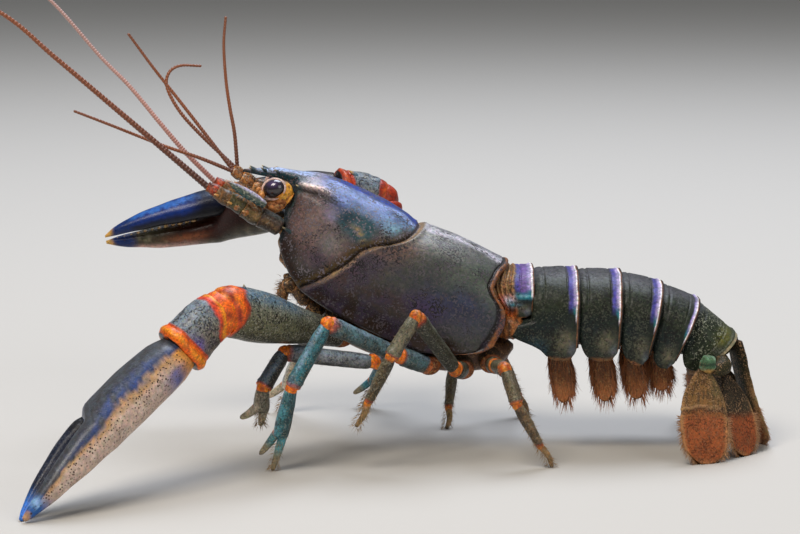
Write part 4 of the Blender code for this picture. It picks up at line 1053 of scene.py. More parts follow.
TELSON_SHAPE = ((0, 0.86), (0.15, 1), (0.45, 0.97), (0.75, 0.95), (0.92, 0.8), (1, 0.6))
BLADE_SHAPE = ((0, 0.24), (0.15, 0.6), (0.35, 0.9), (0.6, 1), (0.82, 0.94), (0.93, 0.8), (1, 0.6))
SCALE_SHAPE = ((0, 0.6), (0.3, 1), (0.7, 0.8), (1, 0.15))


# Geometry Nodes shapes


class GrownShape(Nodes):
    """A Geometry Nodes tree with named inputs, and what turns its result into a plain mesh."""

    def __init__(self, name: str, *numbers: str) -> None:
        """A new tree that takes a geometry, the numbers named and a finish."""
        super().__init__(bpy.data.node_groups.new(name, "GeometryNodeTree"))
        face = self.tree.interface
        kinds = {"Geometry": "Geometry", **dict.fromkeys(numbers, "Float"), "Finish": "Material"}
        self.sockets = {label: face.new_socket(name=label, in_out="INPUT", socket_type="NodeSocket" + kind).identifier
                        for label, kind in kinds.items()}
        face.new_socket(name="Geometry", in_out="OUTPUT", socket_type="NodeSocketGeometry")
        self.entry = {socket.name: socket for socket in add_node(self.tree, "NodeGroupInput").outputs}

    def carried(self, name: str, kind: str = "FLOAT") -> Socket:
        """Reads a value that each point carries."""
        return self.add("GeometryNodeInputNamedAttribute", {"Name": name}, data_type=kind)

    def even_line(self, line: Socket) -> Socket:
        """A line with points set evenly along it."""
        return self.add("GeometryNodeResampleCurve", {"Curve": line, "Length": self.entry["Spacing"]}, mode="LENGTH")

    def set_out(self, points: Socket, shape: Socket, toward: Socket, girth: Socket, length: Socket) -> Socket:
        """Sets a shape on each point, turned and sized, whose own height is stored as "up"."""
        height = self.add("ShaderNodeSeparateXYZ", {0: self.add("GeometryNodeInputPosition")}, 2)
        marked = self.add("GeometryNodeStoreNamedAttribute", {"Geometry": shape, "Name": "up", "Value": height},
                          data_type="FLOAT", domain="POINT")
        return self.add("GeometryNodeInstanceOnPoints", {
            "Points": points, "Instance": marked,
            "Rotation": self.add("FunctionNodeAlignRotationToVector", {"Vector": toward}, axis="Z"),
            "Scale": self.add("ShaderNodeCombineXYZ", {0: girth, 1: girth, 2: length})})

    def finish(self, geometry: Socket) -> "GrownShape":
        """Ends the tree: instances made real, smooth shading and the finish."""
        shaded = self.add("GeometryNodeSetShadeSmooth", {0: self.add("GeometryNodeRealizeInstances", {0: geometry})})
        dressed = self.add("GeometryNodeSetMaterial", {"Geometry": shaded, "Material": self.entry["Finish"]})
        add_node(self.tree, "NodeGroupOutput", {0: dressed})
        return self

    def grow(self, name: str, source: bpy.types.Mesh, values: dict[str, object]) -> bpy.types.Mesh:
        """Runs the tree on a mesh.

        Args:
            name: the new mesh's name.
            source: the mesh that it starts from.
            values: the tree's inputs by name.

        Returns:
            The result as a plain mesh.
        """
        holder = bpy.data.objects.new(name + "_source", source)
        bpy.context.scene.collection.objects.link(holder)
        modifier = holder.modifiers.new("grow", "NODES")
        modifier.node_group = self.tree
        for label, value in values.items():
            modifier[self.sockets[label]] = value
        bpy.context.view_layer.update()
        mesh = bpy.data.meshes.new_from_object(holder.evaluated_get(bpy.context.evaluated_depsgraph_get()))
        holder.modifiers.remove(modifier)
        bpy.data.objects.remove(holder, do_unlink=True)
        mesh.name = name
        return mesh


def ringed_feeler() -> GrownShape:
    """A feeler: short barrel rings threaded on a core that follows a line whose points have a girth."""
    shape = GrownShape("ringed_feeler", "Spacing", "Core share")
    girth = shape.carried("girth")
    even = shape.even_line(shape.add("GeometryNodeSetCurveRadius", {
        "Curve": shape.add("GeometryNodeMeshToCurve", {0: shape.entry["Geometry"]}),
        "Radius": shape.math("MULTIPLY", girth, shape.entry["Core share"])}))
    core = add_node(shape.tree, "GeometryNodeCurveToMesh", {
        "Curve": even, "Profile Curve": shape.add("GeometryNodeCurvePrimitiveCircle", {"Resolution": 8, "Radius": 1}),
        "Fill Caps": True})
    if "Scale" in core.inputs:
        set_inputs(shape.tree, core, {"Scale": shape.add("GeometryNodeInputRadius")})
    bead = shape.add("GeometryNodeMeshUVSphere", {"Segments": 10, "Rings": 6, "Radius": 1})
    rings = shape.set_out(even, bead, shape.add("GeometryNodeInputTangent"), girth,
                          shape.math("MULTIPLY", shape.entry["Spacing"], 0.6))
    joined = add_node(shape.tree, "GeometryNodeJoinGeometry", {0: core.outputs[0]})
    set_inputs(shape.tree, joined, {0: rings})
    return shape.finish(joined.outputs[0])


def bristle_coat() -> GrownShape:
    """Setae: a curved, tapering hair on each point, by its own lean, reach, girth and curl."""
    shape = GrownShape("bristle_coat")
    hair = shape.add("GeometryNodeMeshCone", {"Vertices": 4, "Side Segments": 4, "Fill Segments": 1,
                                              "Radius Top": 0.12, "Radius Bottom": 1, "Depth": 1})
    hairs = shape.set_out(shape.entry["Geometry"], hair, shape.carried("lean", "FLOAT_VECTOR"),
                          shape.carried("girth"), shape.carried("reach"))
    bend = shape.vector("SCALE", {0: shape.carried("curl", "FLOAT_VECTOR"),
                                  "Scale": shape.math("POWER", shape.carried("up"), 2)})
    real = shape.add("GeometryNodeRealizeInstances", {0: hairs})
    return shape.finish(shape.add("GeometryNodeSetPosition", {"Geometry": real, "Offset": bend}))


def stud_row() -> GrownShape:
    """Blunt teeth or beads set in an even row along a line whose points have a girth."""
    shape = GrownShape("stud_row", "Spacing")
    line = shape.add("GeometryNodeMeshToCurve", {0: shape.entry["Geometry"]})
    vary = shape.add("FunctionNodeRandomValue", {2: 0.75, 3: 1.2, "Seed": 4}, 1, data_type="FLOAT")
    return shape.finish(shape.add("GeometryNodeInstanceOnPoints", {
        "Points": shape.even_line(line),
        "Instance": shape.add("GeometryNodeMeshUVSphere", {"Segments": 10, "Rings": 7, "Radius": 1}),
        "Scale": shape.math("MULTIPLY", shape.carried("girth"), vary)}))


@dataclass
class Growths:
    """The three grown shapes, built once."""

    feeler: GrownShape
    bristles: GrownShape
    studs: GrownShape


def line_mesh(name: str, points: Array, girth: Array, colours: Array) -> bpy.types.Mesh:
    """A row of points joined by edges, with a girth in metres and a colour at each."""
    mesh = bpy.data.meshes.new(name)
    mesh.from_pydata(((points - CENTRE) * MM).tolist(), [(i, i + 1) for i in range(len(points) - 1)], [])
    mesh.attributes.new("girth", "FLOAT", "POINT").data.foreach_set("value", (girth * MM).astype(np.float32))
    store_paint(mesh, colours)
    return mesh


def blend_colours(codes: Sequence[str], shares: Array) -> Array:
    """Colours along a run of evenly set hex codes, at shares from 0 to 1."""
    table = np.array([linear(code) for code in codes])
    return between(table, np.linspace(0, 1, len(codes)), shares)


class Coat:
    """Gathers the roots of setae and grows them as one piece.

    The bake map unrolls the edges and limbs that carry them, one after another and row by row.
    """

    FIELDS = (("lean", "FLOAT_VECTOR", "vector"), ("curl", "FLOAT_VECTOR", "vector"), ("reach", "FLOAT", "value"),
              ("girth", "FLOAT", "value"))
    PATCH = 0.003  # how wide each hair's patch on the bake map is
    PITCH = 0.004  # how far apart the patches lie
    ROW = 248  # how many patches lie in a row
    FLOOR_GAP = 0.00002  # how far above the floor the lowest hair stays, in metres

    def __init__(self, name: str, seed: int) -> None:
        """Starts a coat with its own fixed random draw."""
        self.name = name
        self.random = np.random.default_rng(seed)
        self.rows: dict[str, list] = {key: [] for key in ("place", "lean", "curl", "reach", "girth", "colour", "map")}
        self.sown = 0

    def sow(self, places: Array, leans: Array, reach: float, girth: float, codes: Sequence[str],
            spread: float = 0.25, droop: float = 0.2, wave: float = 0.12) -> None:
        """Sets a hair at each place.

        Args:
            places: roots in millimetres, in their order along the edge or segment that they grow from.
            leans: the way each hair points.
            reach: usual length in millimetres.
            girth: thickness at the root in millimetres.
            codes: colours to draw between.
            spread: how unevenly the hairs point.
            droop: how far a tip hangs, as a share of its length.
            wave: how unevenly the tips bend.
        """
        count = len(places)
        leans = units(units(leans) + self.random.normal(0, spread, (count, 3)))
        lengths = reach * self.random.uniform(0.55, 1.15, count)
        curls = (self.random.normal(0, wave, (count, 3)) - droop * UP) * lengths[:, None] * MM
        colours = blend_colours(codes, self.random.uniform(0, 1, count))
        run = self.sown + np.arange(count)
        self.sown += count
        patches = 0.5 * self.PITCH + self.PITCH * np.stack((run % self.ROW, run // self.ROW), -1)
        values = (places, leans, curls, lengths * MM, np.full(count, girth * MM), colours, patches)
        for row, value in zip(self.rows.values(), values):
            row.append(value)

    def grow(self, shape: GrownShape) -> None:
        """Makes the coat's mesh, with its bake map."""
        rows = {key: np.concatenate(value) for key, value in self.rows.items()}
        mesh = bpy.data.meshes.new(self.name + "_roots")
        mesh.from_pydata(((rows["place"] - CENTRE) * MM).tolist(), [], [])
        for key, kind, member in self.FIELDS:
            layer = mesh.attributes.new(key, kind, "POINT")
            layer.data.foreach_set(member, rows[key].astype(np.float32).ravel())
        store_paint(mesh, rows["colour"])
        grown = shape.grow(self.name, mesh, {"Finish": BRISTLE_FINISH.build()})
        count = len(grown.vertices)
        place = np.empty(count * 3, np.float32)
        grown.vertices.foreach_get("co", place)
        place[2::3] = np.maximum(place[2::3], self.FLOOR_GAP)
        grown.vertices.foreach_set("co", place)
        each = count // len(rows["place"])
        angle = 2 * math.pi * np.arange(count) / each
        corner = rows["map"][np.arange(count) // each]
        corner = corner + 0.5 * self.PATCH * np.stack((np.cos(angle), np.sin(angle)), -1)
        layer = grown.uv_layers.new(name="OFBake")
        owner = np.empty(len(grown.loops), np.int32)
        grown.loops.foreach_get("vertex_index", owner)
        layer.data.foreach_set("uv", corner[owner].astype(np.float32).ravel())
        grown.update()
        show(bpy.data.objects.new(self.name, grown))


# Tail fan and underside


@dataclass
class TailFan:
    """Telson and two pairs of side blades, each with ribs, a middle ridge and a fringe of setae."""

    growths: Growths
    coat: Coat = field(default_factory=lambda: Coat("tail_fringe_setae", 7))
    telson: ClassVar[dict] = dict(root=(53.3, 0, 17), tip=(58.8, 0, -0.1), across=(0, 1, 0), half_width=4.4,
                                  bow=0.6, thickness=1.1, cup=0.3)
    left: ClassVar[dict] = {
        "outer": dict(root=(47.6, -9.6, 14.1), tip=(47.7, -14.6, -0.3), across=(0.93, 0.36, 0), half_width=4.1,
                      bow=-0.7, shift=-0.7),
        "inner": dict(root=(51.6, -5.6, 12.2), tip=(54.6, -9.2, -0.1), across=(0.75, 0.66, 0), half_width=3.4,
                      bow=-0.5)}
    right: ClassVar[dict] = {"outer": (1.8, 3.4, (0.62, -0.78, 0)), "inner": (0, 1.6, (0.75, -0.66, 0))}
    thickness: float = 0.75
    knuckle: Knots = ((51.4, 6.2, 14.1), (50.9, 8.2, 14.2), (48.9, 9.8, 13.8))

    def blade(self, flank: Flank, which: str) -> Blade:
        """A side blade of either flank; the right ones stand further back."""
        sizes = dict(self.left[which])
        if flank is Flank.RIGHT:
            *back, across = self.right[which]
            for key, shift in zip(("root", "tip"), back):
                x, y, z = sizes[key]
                sizes[key] = (x + shift, -y, z)
            sizes.update(across=across, bow=-sizes["bow"])
        return Blade(shape=BLADE_SHAPE, thickness=self.thickness, cup=-0.12 * flank.sign, **sizes)

    @staticmethod
    def paint(blade: Blade, rings: Array, upper: str, lower: str, change: float) -> Paint:
        """Dark veined plate whose lower part turns terracotta, with tan grit at its edges."""
        wander = ripple(rings, 5, 23)
        t, u = blade.t + 0.03 * wander, blade.u
        veins = np.cos(u * 26 + 2.5 * ripple(rings, 6, 24))
        return blade.paint(upper).lay_all((
            ("#3A3226", 0.75 * ease(veins, 0.35, 0.9) * ease(t, 0.7, 0.4)),
            (lower, ease(t, change - 0.06, change + 0.12)),
            ("#6A3A24", 0.6 * ease(veins, 0.45, 0.95) * ease(t, change, change + 0.2)),
            ("#26201A", 0.75 * ease(t, 0.1, 0.02)), ("#B48A5C", 0.55 * hill(abs(u), 0.96, 0.1) * ease(t, 0.2, 0.5)),
            ("#A8764A", 0.6 * ease(t, 0.95, 1)))).mark(0.55, 0.2 + 0.3 * (t < change), 0)

    def fringe(self, blade: Blade, rings: Array, count: int, start: float) -> None:
        """Setae along a blade's free edge, from start to its tip and round it."""
        n = blade.columns
        left, tip, right = rings[:, 0], rings[-1, :n], rings[::-1, n - 1]
        edge = np.vstack((left[int(start * blade.rows):], tip, right[:int((1 - start) * blade.rows)]))
        reach = distances(edge)
        places = between(edge, reach, np.sort(self.coat.random.uniform(0, reach[-1], count)))
        middle = rings[int(0.55 * blade.rows), n // 2]
        self.coat.sow(places, places - middle, 0.95, 0.05, ("#6B4428", "#B4885C", "#94663C"), 0.12, 0.1)

    def build(self) -> None:
        """The five blades and their fringe."""
        telson = Blade(shape=TELSON_SHAPE, **self.telson)
        rings = relief(telson.rings(0.03, 0.12), 0.05 * ripple(telson.rings(), 2, 25))
        paint = self.paint(telson, rings, "#1E2416", "#7E4226", 0.62).mark(0.5, 0.5)
        sculpt = Sculpt().tube(rings, paint)
        for place in (0.52, 0.7, 0.86):
            for side in (-1, 1):
                row = rings[int(place * telson.rows), 0 if side < 0 else telson.columns - 1]
                sculpt.spike(row - vec(0, side * 0.3, 0), row + vec(0.5, side * 0.5, -1.1), 0.25, "#8A7A58",
                             "#8A7A58", 0)
        knob = ball((51.6, 0, 16.2), (1.5, 5, 1.5), (0.643, 0, -0.766), 16, 26, (0, 1, 0))
        sculpt.tube(knob, paint_on(knob, "#2A2A1A").mark(0.4, 0.6))
        sculpt.piece("telson_plate", FAN_FINISH, ("telson",), "fan")
        self.fringe(telson, rings, 300, 0.6)
        for flank in Flank:
            name = f"tail_blade_{flank.value}"
            sculpt, outer, rings = self.outer_blade(flank)
            sculpt.piece(name + "_outer_plate", FAN_FINISH, (name + "_outer",), "fan")
            self.fringe(outer, rings, 420, 0.5)
            inner = self.blade(flank, "inner")
            rings = inner.rings(0.04, 0.2)
            Sculpt().tube(rings, self.paint(inner, rings, "#362E22", "#8E4A28", 0.5)).piece(
                name + "_inner_plate", FAN_FINISH, (name + "_inner",), "fan")
            self.fringe(inner, rings, 340, 0.5)
        self.coat.grow(self.growths.bristles)

    def outer_blade(self, flank: Flank) -> tuple[Sculpt, Blade, Array]:
        """An outer blade with its cross seam, the joint that carries it and the joint's greenish crown."""
        outer = self.blade(flank, "outer")
        t, u = outer.t, -flank.sign * outer.u
        rings = outer.rings(0.04, 0.2)
        seam = 0.43 + 0.04 * u**2 + 0.012 * ripple(rings, 3, 26)
        lift = -0.16 * hill(t, seam, 0.012) + 0.1 * hill(t, seam - 0.03, 0.016)
        rings = relief(rings, lift + 0.03 * ripple(rings, 1.4, 27))
        sculpt = Sculpt().tube(rings, self.paint(outer, rings, "#78562F", "#95502A", 0.46).lay_all((
            ("#4A2E1E", 0.8 * hill(t, seam, 0.012)), ("#C39A70", 0.5 * hill(t, seam - 0.03, 0.012)),
            ("#1E1814", spot(t, 0.42, 0.03, u, 0.86, 0.14)),
            ("#4E4A30", 0.7 * ease(u, 0.1, 0.8) * ease(t, 0.4, 0.25)))))
        bends = [flank.place(p) for p in self.knuckle]
        if flank is Flank.RIGHT:
            bends[2] = bends[2] + vec(self.right["outer"][0], 0, 0)
        bends[0] = bends[0] - vec(0.9, flank.sign * 0.6, -0.9)
        knuckle = Sweep(bends, ((0, 1.3), (0.5, 1.3), (1, 1.1)), UP, 1.1, (0.2, 0.3), 24, 24)
        joint = knuckle.rings()
        sculpt.lumpy(joint, ripple(joint, 1.5, 29), 0.06, "#2E2C1A",
                     (("#3A3420", ease(knuckle.along, 0.75, 1)),), (0.5, 0.5))
        root = vec(*outer.root)
        crown = ball(root + vec(0.75, 0, 0.75), (1.5, 1.5, 1.3), UP, 20, 28)
        high = crown[..., 2] - root[2]
        # The crown: its pale green is a painted highlight on the raised lumps.
        sculpt.lumpy(crown, ripple(crown, 1.6, 28), 0.14, "#456448", (
            ("#8AA88C", 0.6, 0.1, 0.8), ("#1E2A22", 0.8 * hill(high, 0.9, 0.3)), ("#B08A4C", ease(high, 0.3, -0.2))),
            (0.4, 0.2))
        return sculpt, outer, rings


@dataclass
class Underside:
    """The soft floor of the belly rings with its fringed swimmerets, and the keel between the legs."""

    growths: Growths
    floor: Knots = ((19, 18.4, 4.6), (22, 18, 5.6), (28, 17.7, 6), (34.5, 17.3, 6), (40, 16.2, 5.6), (44.2, 14.4, 4.6))
    swimmerets: Knots = ((25, 7.8), (31.6, 8), (36.6, 8.4), (40.6, 9.8))
    keel: Knots = ((-12.6, 21.8, 2, 3.6), (-10.5, 20.6, 3, 4.6), (-4, 17.9, 3.2, 5), (3, 15.6, 3, 5),
                   (10, 15, 2.9, 5), (15.5, 15.3, 2.7, 4.4), (18.2, 15.9, 1.8, 3.2))
    coat: Coat = field(default_factory=lambda: Coat("swimmeret_setae", 9))

    @staticmethod
    def slab(rows: Knots, around: int = 32) -> Array:
        """Rings of a soft body given as x, z, half height and half width."""
        count = 40
        x = np.linspace(rows[0][0], rows[-1][0], count)
        z, high, wide = columns(rows, x, 1, 2, 3)
        c, s = squared_off(turn(around), 0.8)
        end = np.sqrt(np.clip(1 - (2 * np.linspace(0, 1, count) - 1) ** 8, 0.05, 1))
        return np.stack((np.broadcast_to(x[:, None], (count, around)), (end * wide)[:, None] * c,
                         z[:, None] + (end * high)[:, None] * s), -1)

    def build(self) -> None:
        """The floor, the swimmerets, the keel and the limbs' first stubs."""
        rings = self.slab([(x, z, 0.75, wide) for x, z, wide in self.floor])
        rings = relief(rings, 0.12 * np.cos(rings[..., 0] * 4.2))
        sculpt = Sculpt().tube(rings, paint_on(rings, "#5A3A26").mark(0.2, 0.3))
        for flank in Flank:
            rings = ball((17.3, flank.sign * 6.6, 20.3), (2, 2, 2.7), UP, 24, 32)
            folds = np.cos(rings[..., 0] * 6 + ripple(rings, 2, 36))
            sculpt.lumpy(rings, folds, 0.08, "#7A4622", (("#A8642E", 0.7, 0.2, 1), ("#3A2214", 1, -0.5, -1)),
                         (0.4, 0.2))
        for x, low in self.swimmerets:
            root_z, = columns(self.floor, x, 1)
            for flank in Flank:
                for shift, root_y, tip_y, rise, half_width in ((0, 4.2, 5.4, 0, 1.7), (0.6, 3.6, 3, 1.5, 1.2)):
                    blade = Blade((x + shift, flank.sign * root_y, root_z),
                                  (x + 1.2 + 1.6 * shift, flank.sign * tip_y, low + rise), (0.8, 0.5 * flank.sign, 0),
                                  half_width, 0.2, 0.9, BLADE_SHAPE, rows=26, columns=13)
                    made = blade.rings(0.03, 0.12)
                    paint = blade.paint("#5E3A22").lay("#945C34", ease(blade.t, 0.3, 0.9))
                    sculpt.tube(made, paint.lay("#4A2A18", 0.6 * hill(abs(blade.u), 1, 0.2)).mark(0.3, 0.3))
                    self.fringe(blade, made)
        sculpt.piece("swimmerets_and_floor", SKIN_FINISH, ("tail_underside",), "soft_underside")
        self.coat.grow(self.growths.bristles)
        rings = self.slab(self.keel)
        sculpt = Sculpt().tube(rings, paint_on(rings, "#5E4433").mark(0.3, 0.3))
        for flank in Flank:
            for number in HIPS:
                start, end, radius = stub(flank, number)
                girth = ((0, radius), (0.6, 0.98 * radius), (0.9, 0.94 * radius), (1, 0.85 * radius))
                sweep = Sweep((start, end + 0.3 * unit(end - start)), girth, UP, 1.1, (0, 0.1), 24, 22)
                paint = sweep.paint("#4E4238").lay("#8E4E28", ease(sweep.along, 0.82, 0.95))
                sculpt.tube(sweep.rings(), paint.mark(0.5, 0.5))
        sculpt.piece("keel_and_hips", SKIN_FINISH, ("leg_bases",), "soft_underside")

    def fringe(self, blade: Blade, rings: Array) -> None:
        """Long setae over a swimmeret's faces, sides and tip, hanging straight down."""
        n, random = blade.columns, self.coat.random
        edge = np.vstack((rings[6:, 0], rings[-1, :n], rings[::-1, n - 1][:-6]))
        rims = between(edge, np.arange(len(edge)), np.sort(random.uniform(0, len(edge) - 1, 150)))
        faces = rings[4:-2].reshape(-1, 3)[np.sort(random.integers(0, (blade.rows - 6) * 2 * n, 190))]
        places = np.vstack((rims, faces))
        down = unit(np.asarray(blade.tip) - np.asarray(blade.root))
        out = places - rings[:, n // 2].mean(0)
        out -= (out @ down)[:, None] * down
        self.coat.sow(places, 0.3 * out / (np.linalg.norm(out, axis=1, keepdims=True) + 1e-6) + 1.3 * down, 1.9, 0.055,
                      ("#6A3A1E", "#B06A35", "#94592E"), 0.1, 0.1)


HIPS = {1: (-9.4, 7, 19), 2: (-2.4, 7, 15.9), 3: (4.7, 7, 14), 4: (10, 7, 13.3), 5: (14.5, 6.5, 14.2)}


def stub(flank: Flank, number: int) -> tuple[Array, Array, float]:
    """Start, end and radius of the stub of the body that a limb grows from."""
    hip = flank.place(HIPS[number])
    inner = vec(hip[0] - 0.5, hip[1] * 0.3, hip[2] + 1.2)
    return inner, hip, 2.4 if number == 1 else 1.75


# Walking legs and claws


@dataclass(frozen=True)
class LegColours:
    """A walking leg's colours from the body to its toe."""

    upper: str
    middle: str
    lower: str
    toe: str
    joint: str = "#E0701C"
    # A painted highlight laid along the top of each segment.
    top_highlight: str = "#8FA9C0"


LEG_COLOURS = {2: LegColours("#74787E", "#34302C", "#B8AC94", "#B4A688"),
               3: LegColours("#54747A", "#2F6E78", "#44828C", "#8E8468"),
               4: LegColours("#3C3C2E", "#6A6450", "#5A4C34", "#94784E", "#C0641C", "#7C8070"),
               5: LegColours("#4E4A38", "#5A4C38", "#745A3C", "#8E6E44", "#B4601E", "#7C7860")}
LEG_JOINTS = {
    (Flank.LEFT, 2): ((-4.2, -9.8, 15.2), (-18, -14, 17.6), (-21.2, -17.5, 12.6), (-21.6, -17, 6.6)),
    (Flank.LEFT, 3): ((-0.3, -11, 16.6), (-11.1, -20, 23.2), (-16.6, -21, 13.3), (-19.7, -19, 0)),
    (Flank.LEFT, 4): ((8.6, -10.2, 14.2), (2.4, -20, 24.3), (-1.4, -21, 18.2), (-6.8, -19.5, 7)),
    (Flank.LEFT, 5): ((15, -10.2, 14.7), (16.2, -17.5, 15.6), (18, -19, 10.4), (23.6, -16.8, 0)),
    (Flank.RIGHT, 2): ((-5, 10.5, 15.6), (-13.4, 17.5, 15.6), (-17.4, 21.5, 10), (-20.5, 23, 0)),
    (Flank.RIGHT, 3): ((3.2, 12, 15.6), (0.8, 20, 17.6), (-2.1, 25.6, 9.8), (-6.4, 27, 0)),
    (Flank.RIGHT, 4): ((9.2, 10.6, 14.4), (8.2, 16.6, 16.4), (8.8, 15.4, 9), (7.7, 10, 0)),
    (Flank.RIGHT, 5): ((15, 10.2, 14.7), (15.6, 15.8, 16), (17.3, 18.6, 10.2), (21.7, 20, 0)),}


@dataclass
class WalkingLeg:
    """A leg in three pieces, with orange soft joints; legs 2 and 3 end in small pincers."""

    flank: Flank
    number: int
    coat: Coat
    hint: Array = field(init=False)
    girths: ClassVar[dict] = {2: 1, 3: 1, 4: 0.95, 5: 0.9}
    spreads: ClassVar[dict] = {2: 3.3, 3: 2.5}
    toe_radius: ClassVar[float] = 0.32

    def segment(self, sculpt: Sculpt, start: Array, end: Array, girth: Knots, code: str, first: float = 0.05,
                last: float = 0.92) -> None:
        """Adds one hard segment whose ends, before first and past last, have the joint's orange."""
        colours = LEG_COLOURS[self.number]
        girth = [(t, radius * self.girths[self.number]) for t, radius in girth]
        sweep = Sweep((start, 0.5 * (start + end), end), girth, self.hint, 1.12, (0.07, 0.05), 34, 24)
        rings = sweep.rings()
        t = sweep.along + 0.03 * ripple(rings, 2.6, 31 + self.number)
        facing = off_middle(rings)
        up = facing[..., 2] / np.abs(facing[..., 2]).max(1, keepdims=True)
        channel = 0.08 * hill(up, 0.3, 0.12) * ease(t, 0.2, 0.4) * ease(t, 0.9, 0.75)
        rings = relief(rings, 0.07 * hill(t, last - 0.05, 0.03) - 0.09 * hill(t, last, 0.02)
                       + 0.035 * ripple(rings, 1.6, 33) - channel * (self.flank.sign * facing[..., 1] > 0))
        sculpt.tube(rings, sweep.paint(code).lay_all((
            # 1E221E is painted shade on the underside; the leg's last colour is a painted highlight along the top.
            ("#1E221E", 0.65 * ease(up, -0.1, -0.9)), ("#2A2620", 0.5 * ease(ripple(rings, 2.2, 34), 0.15, 0.6)),
            (colours.top_highlight, 0.75 * hill(up, 0.68, 0.28) * (0.6 + 0.4 * np.clip(ripple(rings, 3, 35), -1, 1))),
            (colours.joint, ease(t, last + 0.02, last + 0.06)), ("#B03414", 0.6 * hill(t, last + 0.02, 0.02)),
            (colours.joint, 0.85 * ease(t, first, first - 0.05)))).mark(
                0.55 - 0.35 * ease(t, last, last + 0.05), 0.25))

    def knuckle(self, sculpt: Sculpt, place: Array, share: float, axis: Array) -> None:
        """Adds the soft ball of a joint, creased, with painted highlights on the raised creases and painted shade in
        the hollows.
        """
        radius = share * self.girths[self.number]
        rings = ball(place, (1.15 * radius, radius, radius), axis, 18, 24)
        # Pale orange is a painted highlight on the raised creases, #A03416 painted shade in the hollows.
        sculpt.lumpy(rings, ripple(rings, 1.3, 36), 0.05, LEG_COLOURS[self.number].joint, (
            ("#F0A02C", 0.42 if self.number > 3 else 0.7, 0, 0.7), ("#A03416", 0.6, -0.2, -0.8)), (0.25, 0.1))

    def hairs(self, start: Array, end: Array, radius: float, count: int, reach: float) -> None:
        """Setae scattered over a segment, leaning to its tip."""
        random = self.coat.random
        run = unit(end - start)
        around = random.normal(size=(count, 3))
        around = units(around - (around @ run)[:, None] * run)
        places = start + random.uniform(0.15, 1, count)[:, None] * (end - start) + 0.85 * radius * around
        self.coat.sow(places, around + 0.9 * run, reach, 0.04, ("#5E4226", "#B4925E"), 0.2, 0.1)

    def build(self) -> None:
        """The leg's three pieces."""
        elbow, knee, ankle, toe = (vec(*p) for p in LEG_JOINTS[self.flank, self.number])
        g, colours = self.girths[self.number], LEG_COLOURS[self.number]
        name = f"leg_{self.number}_{self.flank.value}"
        self.hint = unit(np.cross(knee - elbow, ankle - knee))
        sculpt = Sculpt()
        self.segment(sculpt, stub(self.flank, self.number)[1], elbow, ((0, 1.2), (0.5, 1.35), (1, 1.2)),
                     colours.upper, 0.2, 0.86)
        self.knuckle(sculpt, elbow, 1.05, knee - elbow)
        self.segment(sculpt, elbow, knee, ((0, 0.95), (0.2, 1.15), (0.7, 1.2), (0.93, 1.28), (1, 1.12)), colours.upper)
        self.knuckle(sculpt, knee, 1.05, ankle - knee)
        sculpt.piece(name + "_merus", LIMB_FINISH, (name + "_thigh",), "leg_teal")
        sculpt = Sculpt()
        self.segment(sculpt, knee, ankle, ((0, 0.85), (0.25, 1.1), (0.8, 1.15), (0.94, 1.22), (1, 1.05)),
                     colours.middle)
        self.knuckle(sculpt, ankle, 0.95, toe - ankle)
        sculpt.piece(name + "_carpus", LIMB_FINISH, (name + "_shin",), "leg_teal")
        self.hairs(elbow, knee, 1.1 * g, 40, 0.8)
        self.hairs(knee, ankle, 1.1 * g, 60, 0.8)
        sculpt = Sculpt()
        end = self.walking_foot if self.number > 3 else self.pincer
        end(sculpt, ankle, toe)
        sculpt.piece(name + "_foot_and_toe", LIMB_FINISH, (name + "_foot",), "leg_teal")
        self.hairs(ankle, toe, 0.75 * g, 260, 0.9)

    def walking_foot(self, sculpt: Sculpt, ankle: Array, toe: Array) -> None:
        """A long segment and a curved pointed toe."""
        g, colours = self.girths[self.number], LEG_COLOURS[self.number]
        bend = ankle + 0.66 * (toe - ankle)
        self.segment(sculpt, ankle, bend, ((0, 0.85), (0.3, 1), (0.8, 0.78), (1, 0.7)), colours.lower)
        self.knuckle(sculpt, bend, 0.62, toe - ankle)
        nail = Sweep((bend, 0.5 * (bend + toe) + vec(0.35, 0, 0.1), toe),
                     ((0, 0.6 * g), (0.5, 0.5 * g), (0.9, 0.34), (1, self.toe_radius)), self.hint, 1.1, (0.1, 0.06),
                     20, 14)
        sculpt.tube(nail.rings(), nail.paint(colours.toe).lay_all((
            ("#3A2A1C", ease(nail.along, 0.82, 1)), (colours.joint, 0.6 * ease(nail.along, 0.2, 0)))).mark(0.3, 0.3))

    def pincer(self, sculpt: Sculpt, ankle: Array, toe: Array) -> None:
        """A palm with a fixed finger and a hinged one."""
        colours = LEG_COLOURS[self.number]
        palm = ankle + 0.55 * (toe - ankle)
        run = unit(toe - ankle)
        spread = square_to((-1, 0.2, 0), run)
        self.segment(sculpt, ankle, palm + 0.5 * run, ((0, 0.85), (0.3, 1.05), (0.8, 1.15), (1, 1.05)), colours.lower,
                     0.05, 2)
        tip = toe + self.spreads[self.number] * spread - 0.14 * (toe - ankle)
        for side, end, halfway, last in ((-0.45, toe, 0.6, self.toe_radius), (0.45, tip, 0.58, 0.24)):
            middle = 0.5 * (palm + (0.6 if side > 0 else -0.5) * spread) + 0.5 * end - side * 0.1 * spread
            finger = Sweep((palm - 0.6 * run + side * spread, middle, end),
                           ((0, 0.66), (0.5, halfway), (0.85, 0.42), (1, last)), self.hint, 1.1, (0.1, 0.08), 24,
                           14)
            t = finger.along
            sculpt.tube(finger.rings(), finger.paint(colours.lower).lay_all((
                (colours.toe, ease(t, 0.35, 0.7)), ("#4A3420", ease(t, 0.9, 1)),
                (colours.joint, 0.8 * ease(t, 0.22, 0.08) * (side > 0)))).mark(0.4, 0.4))


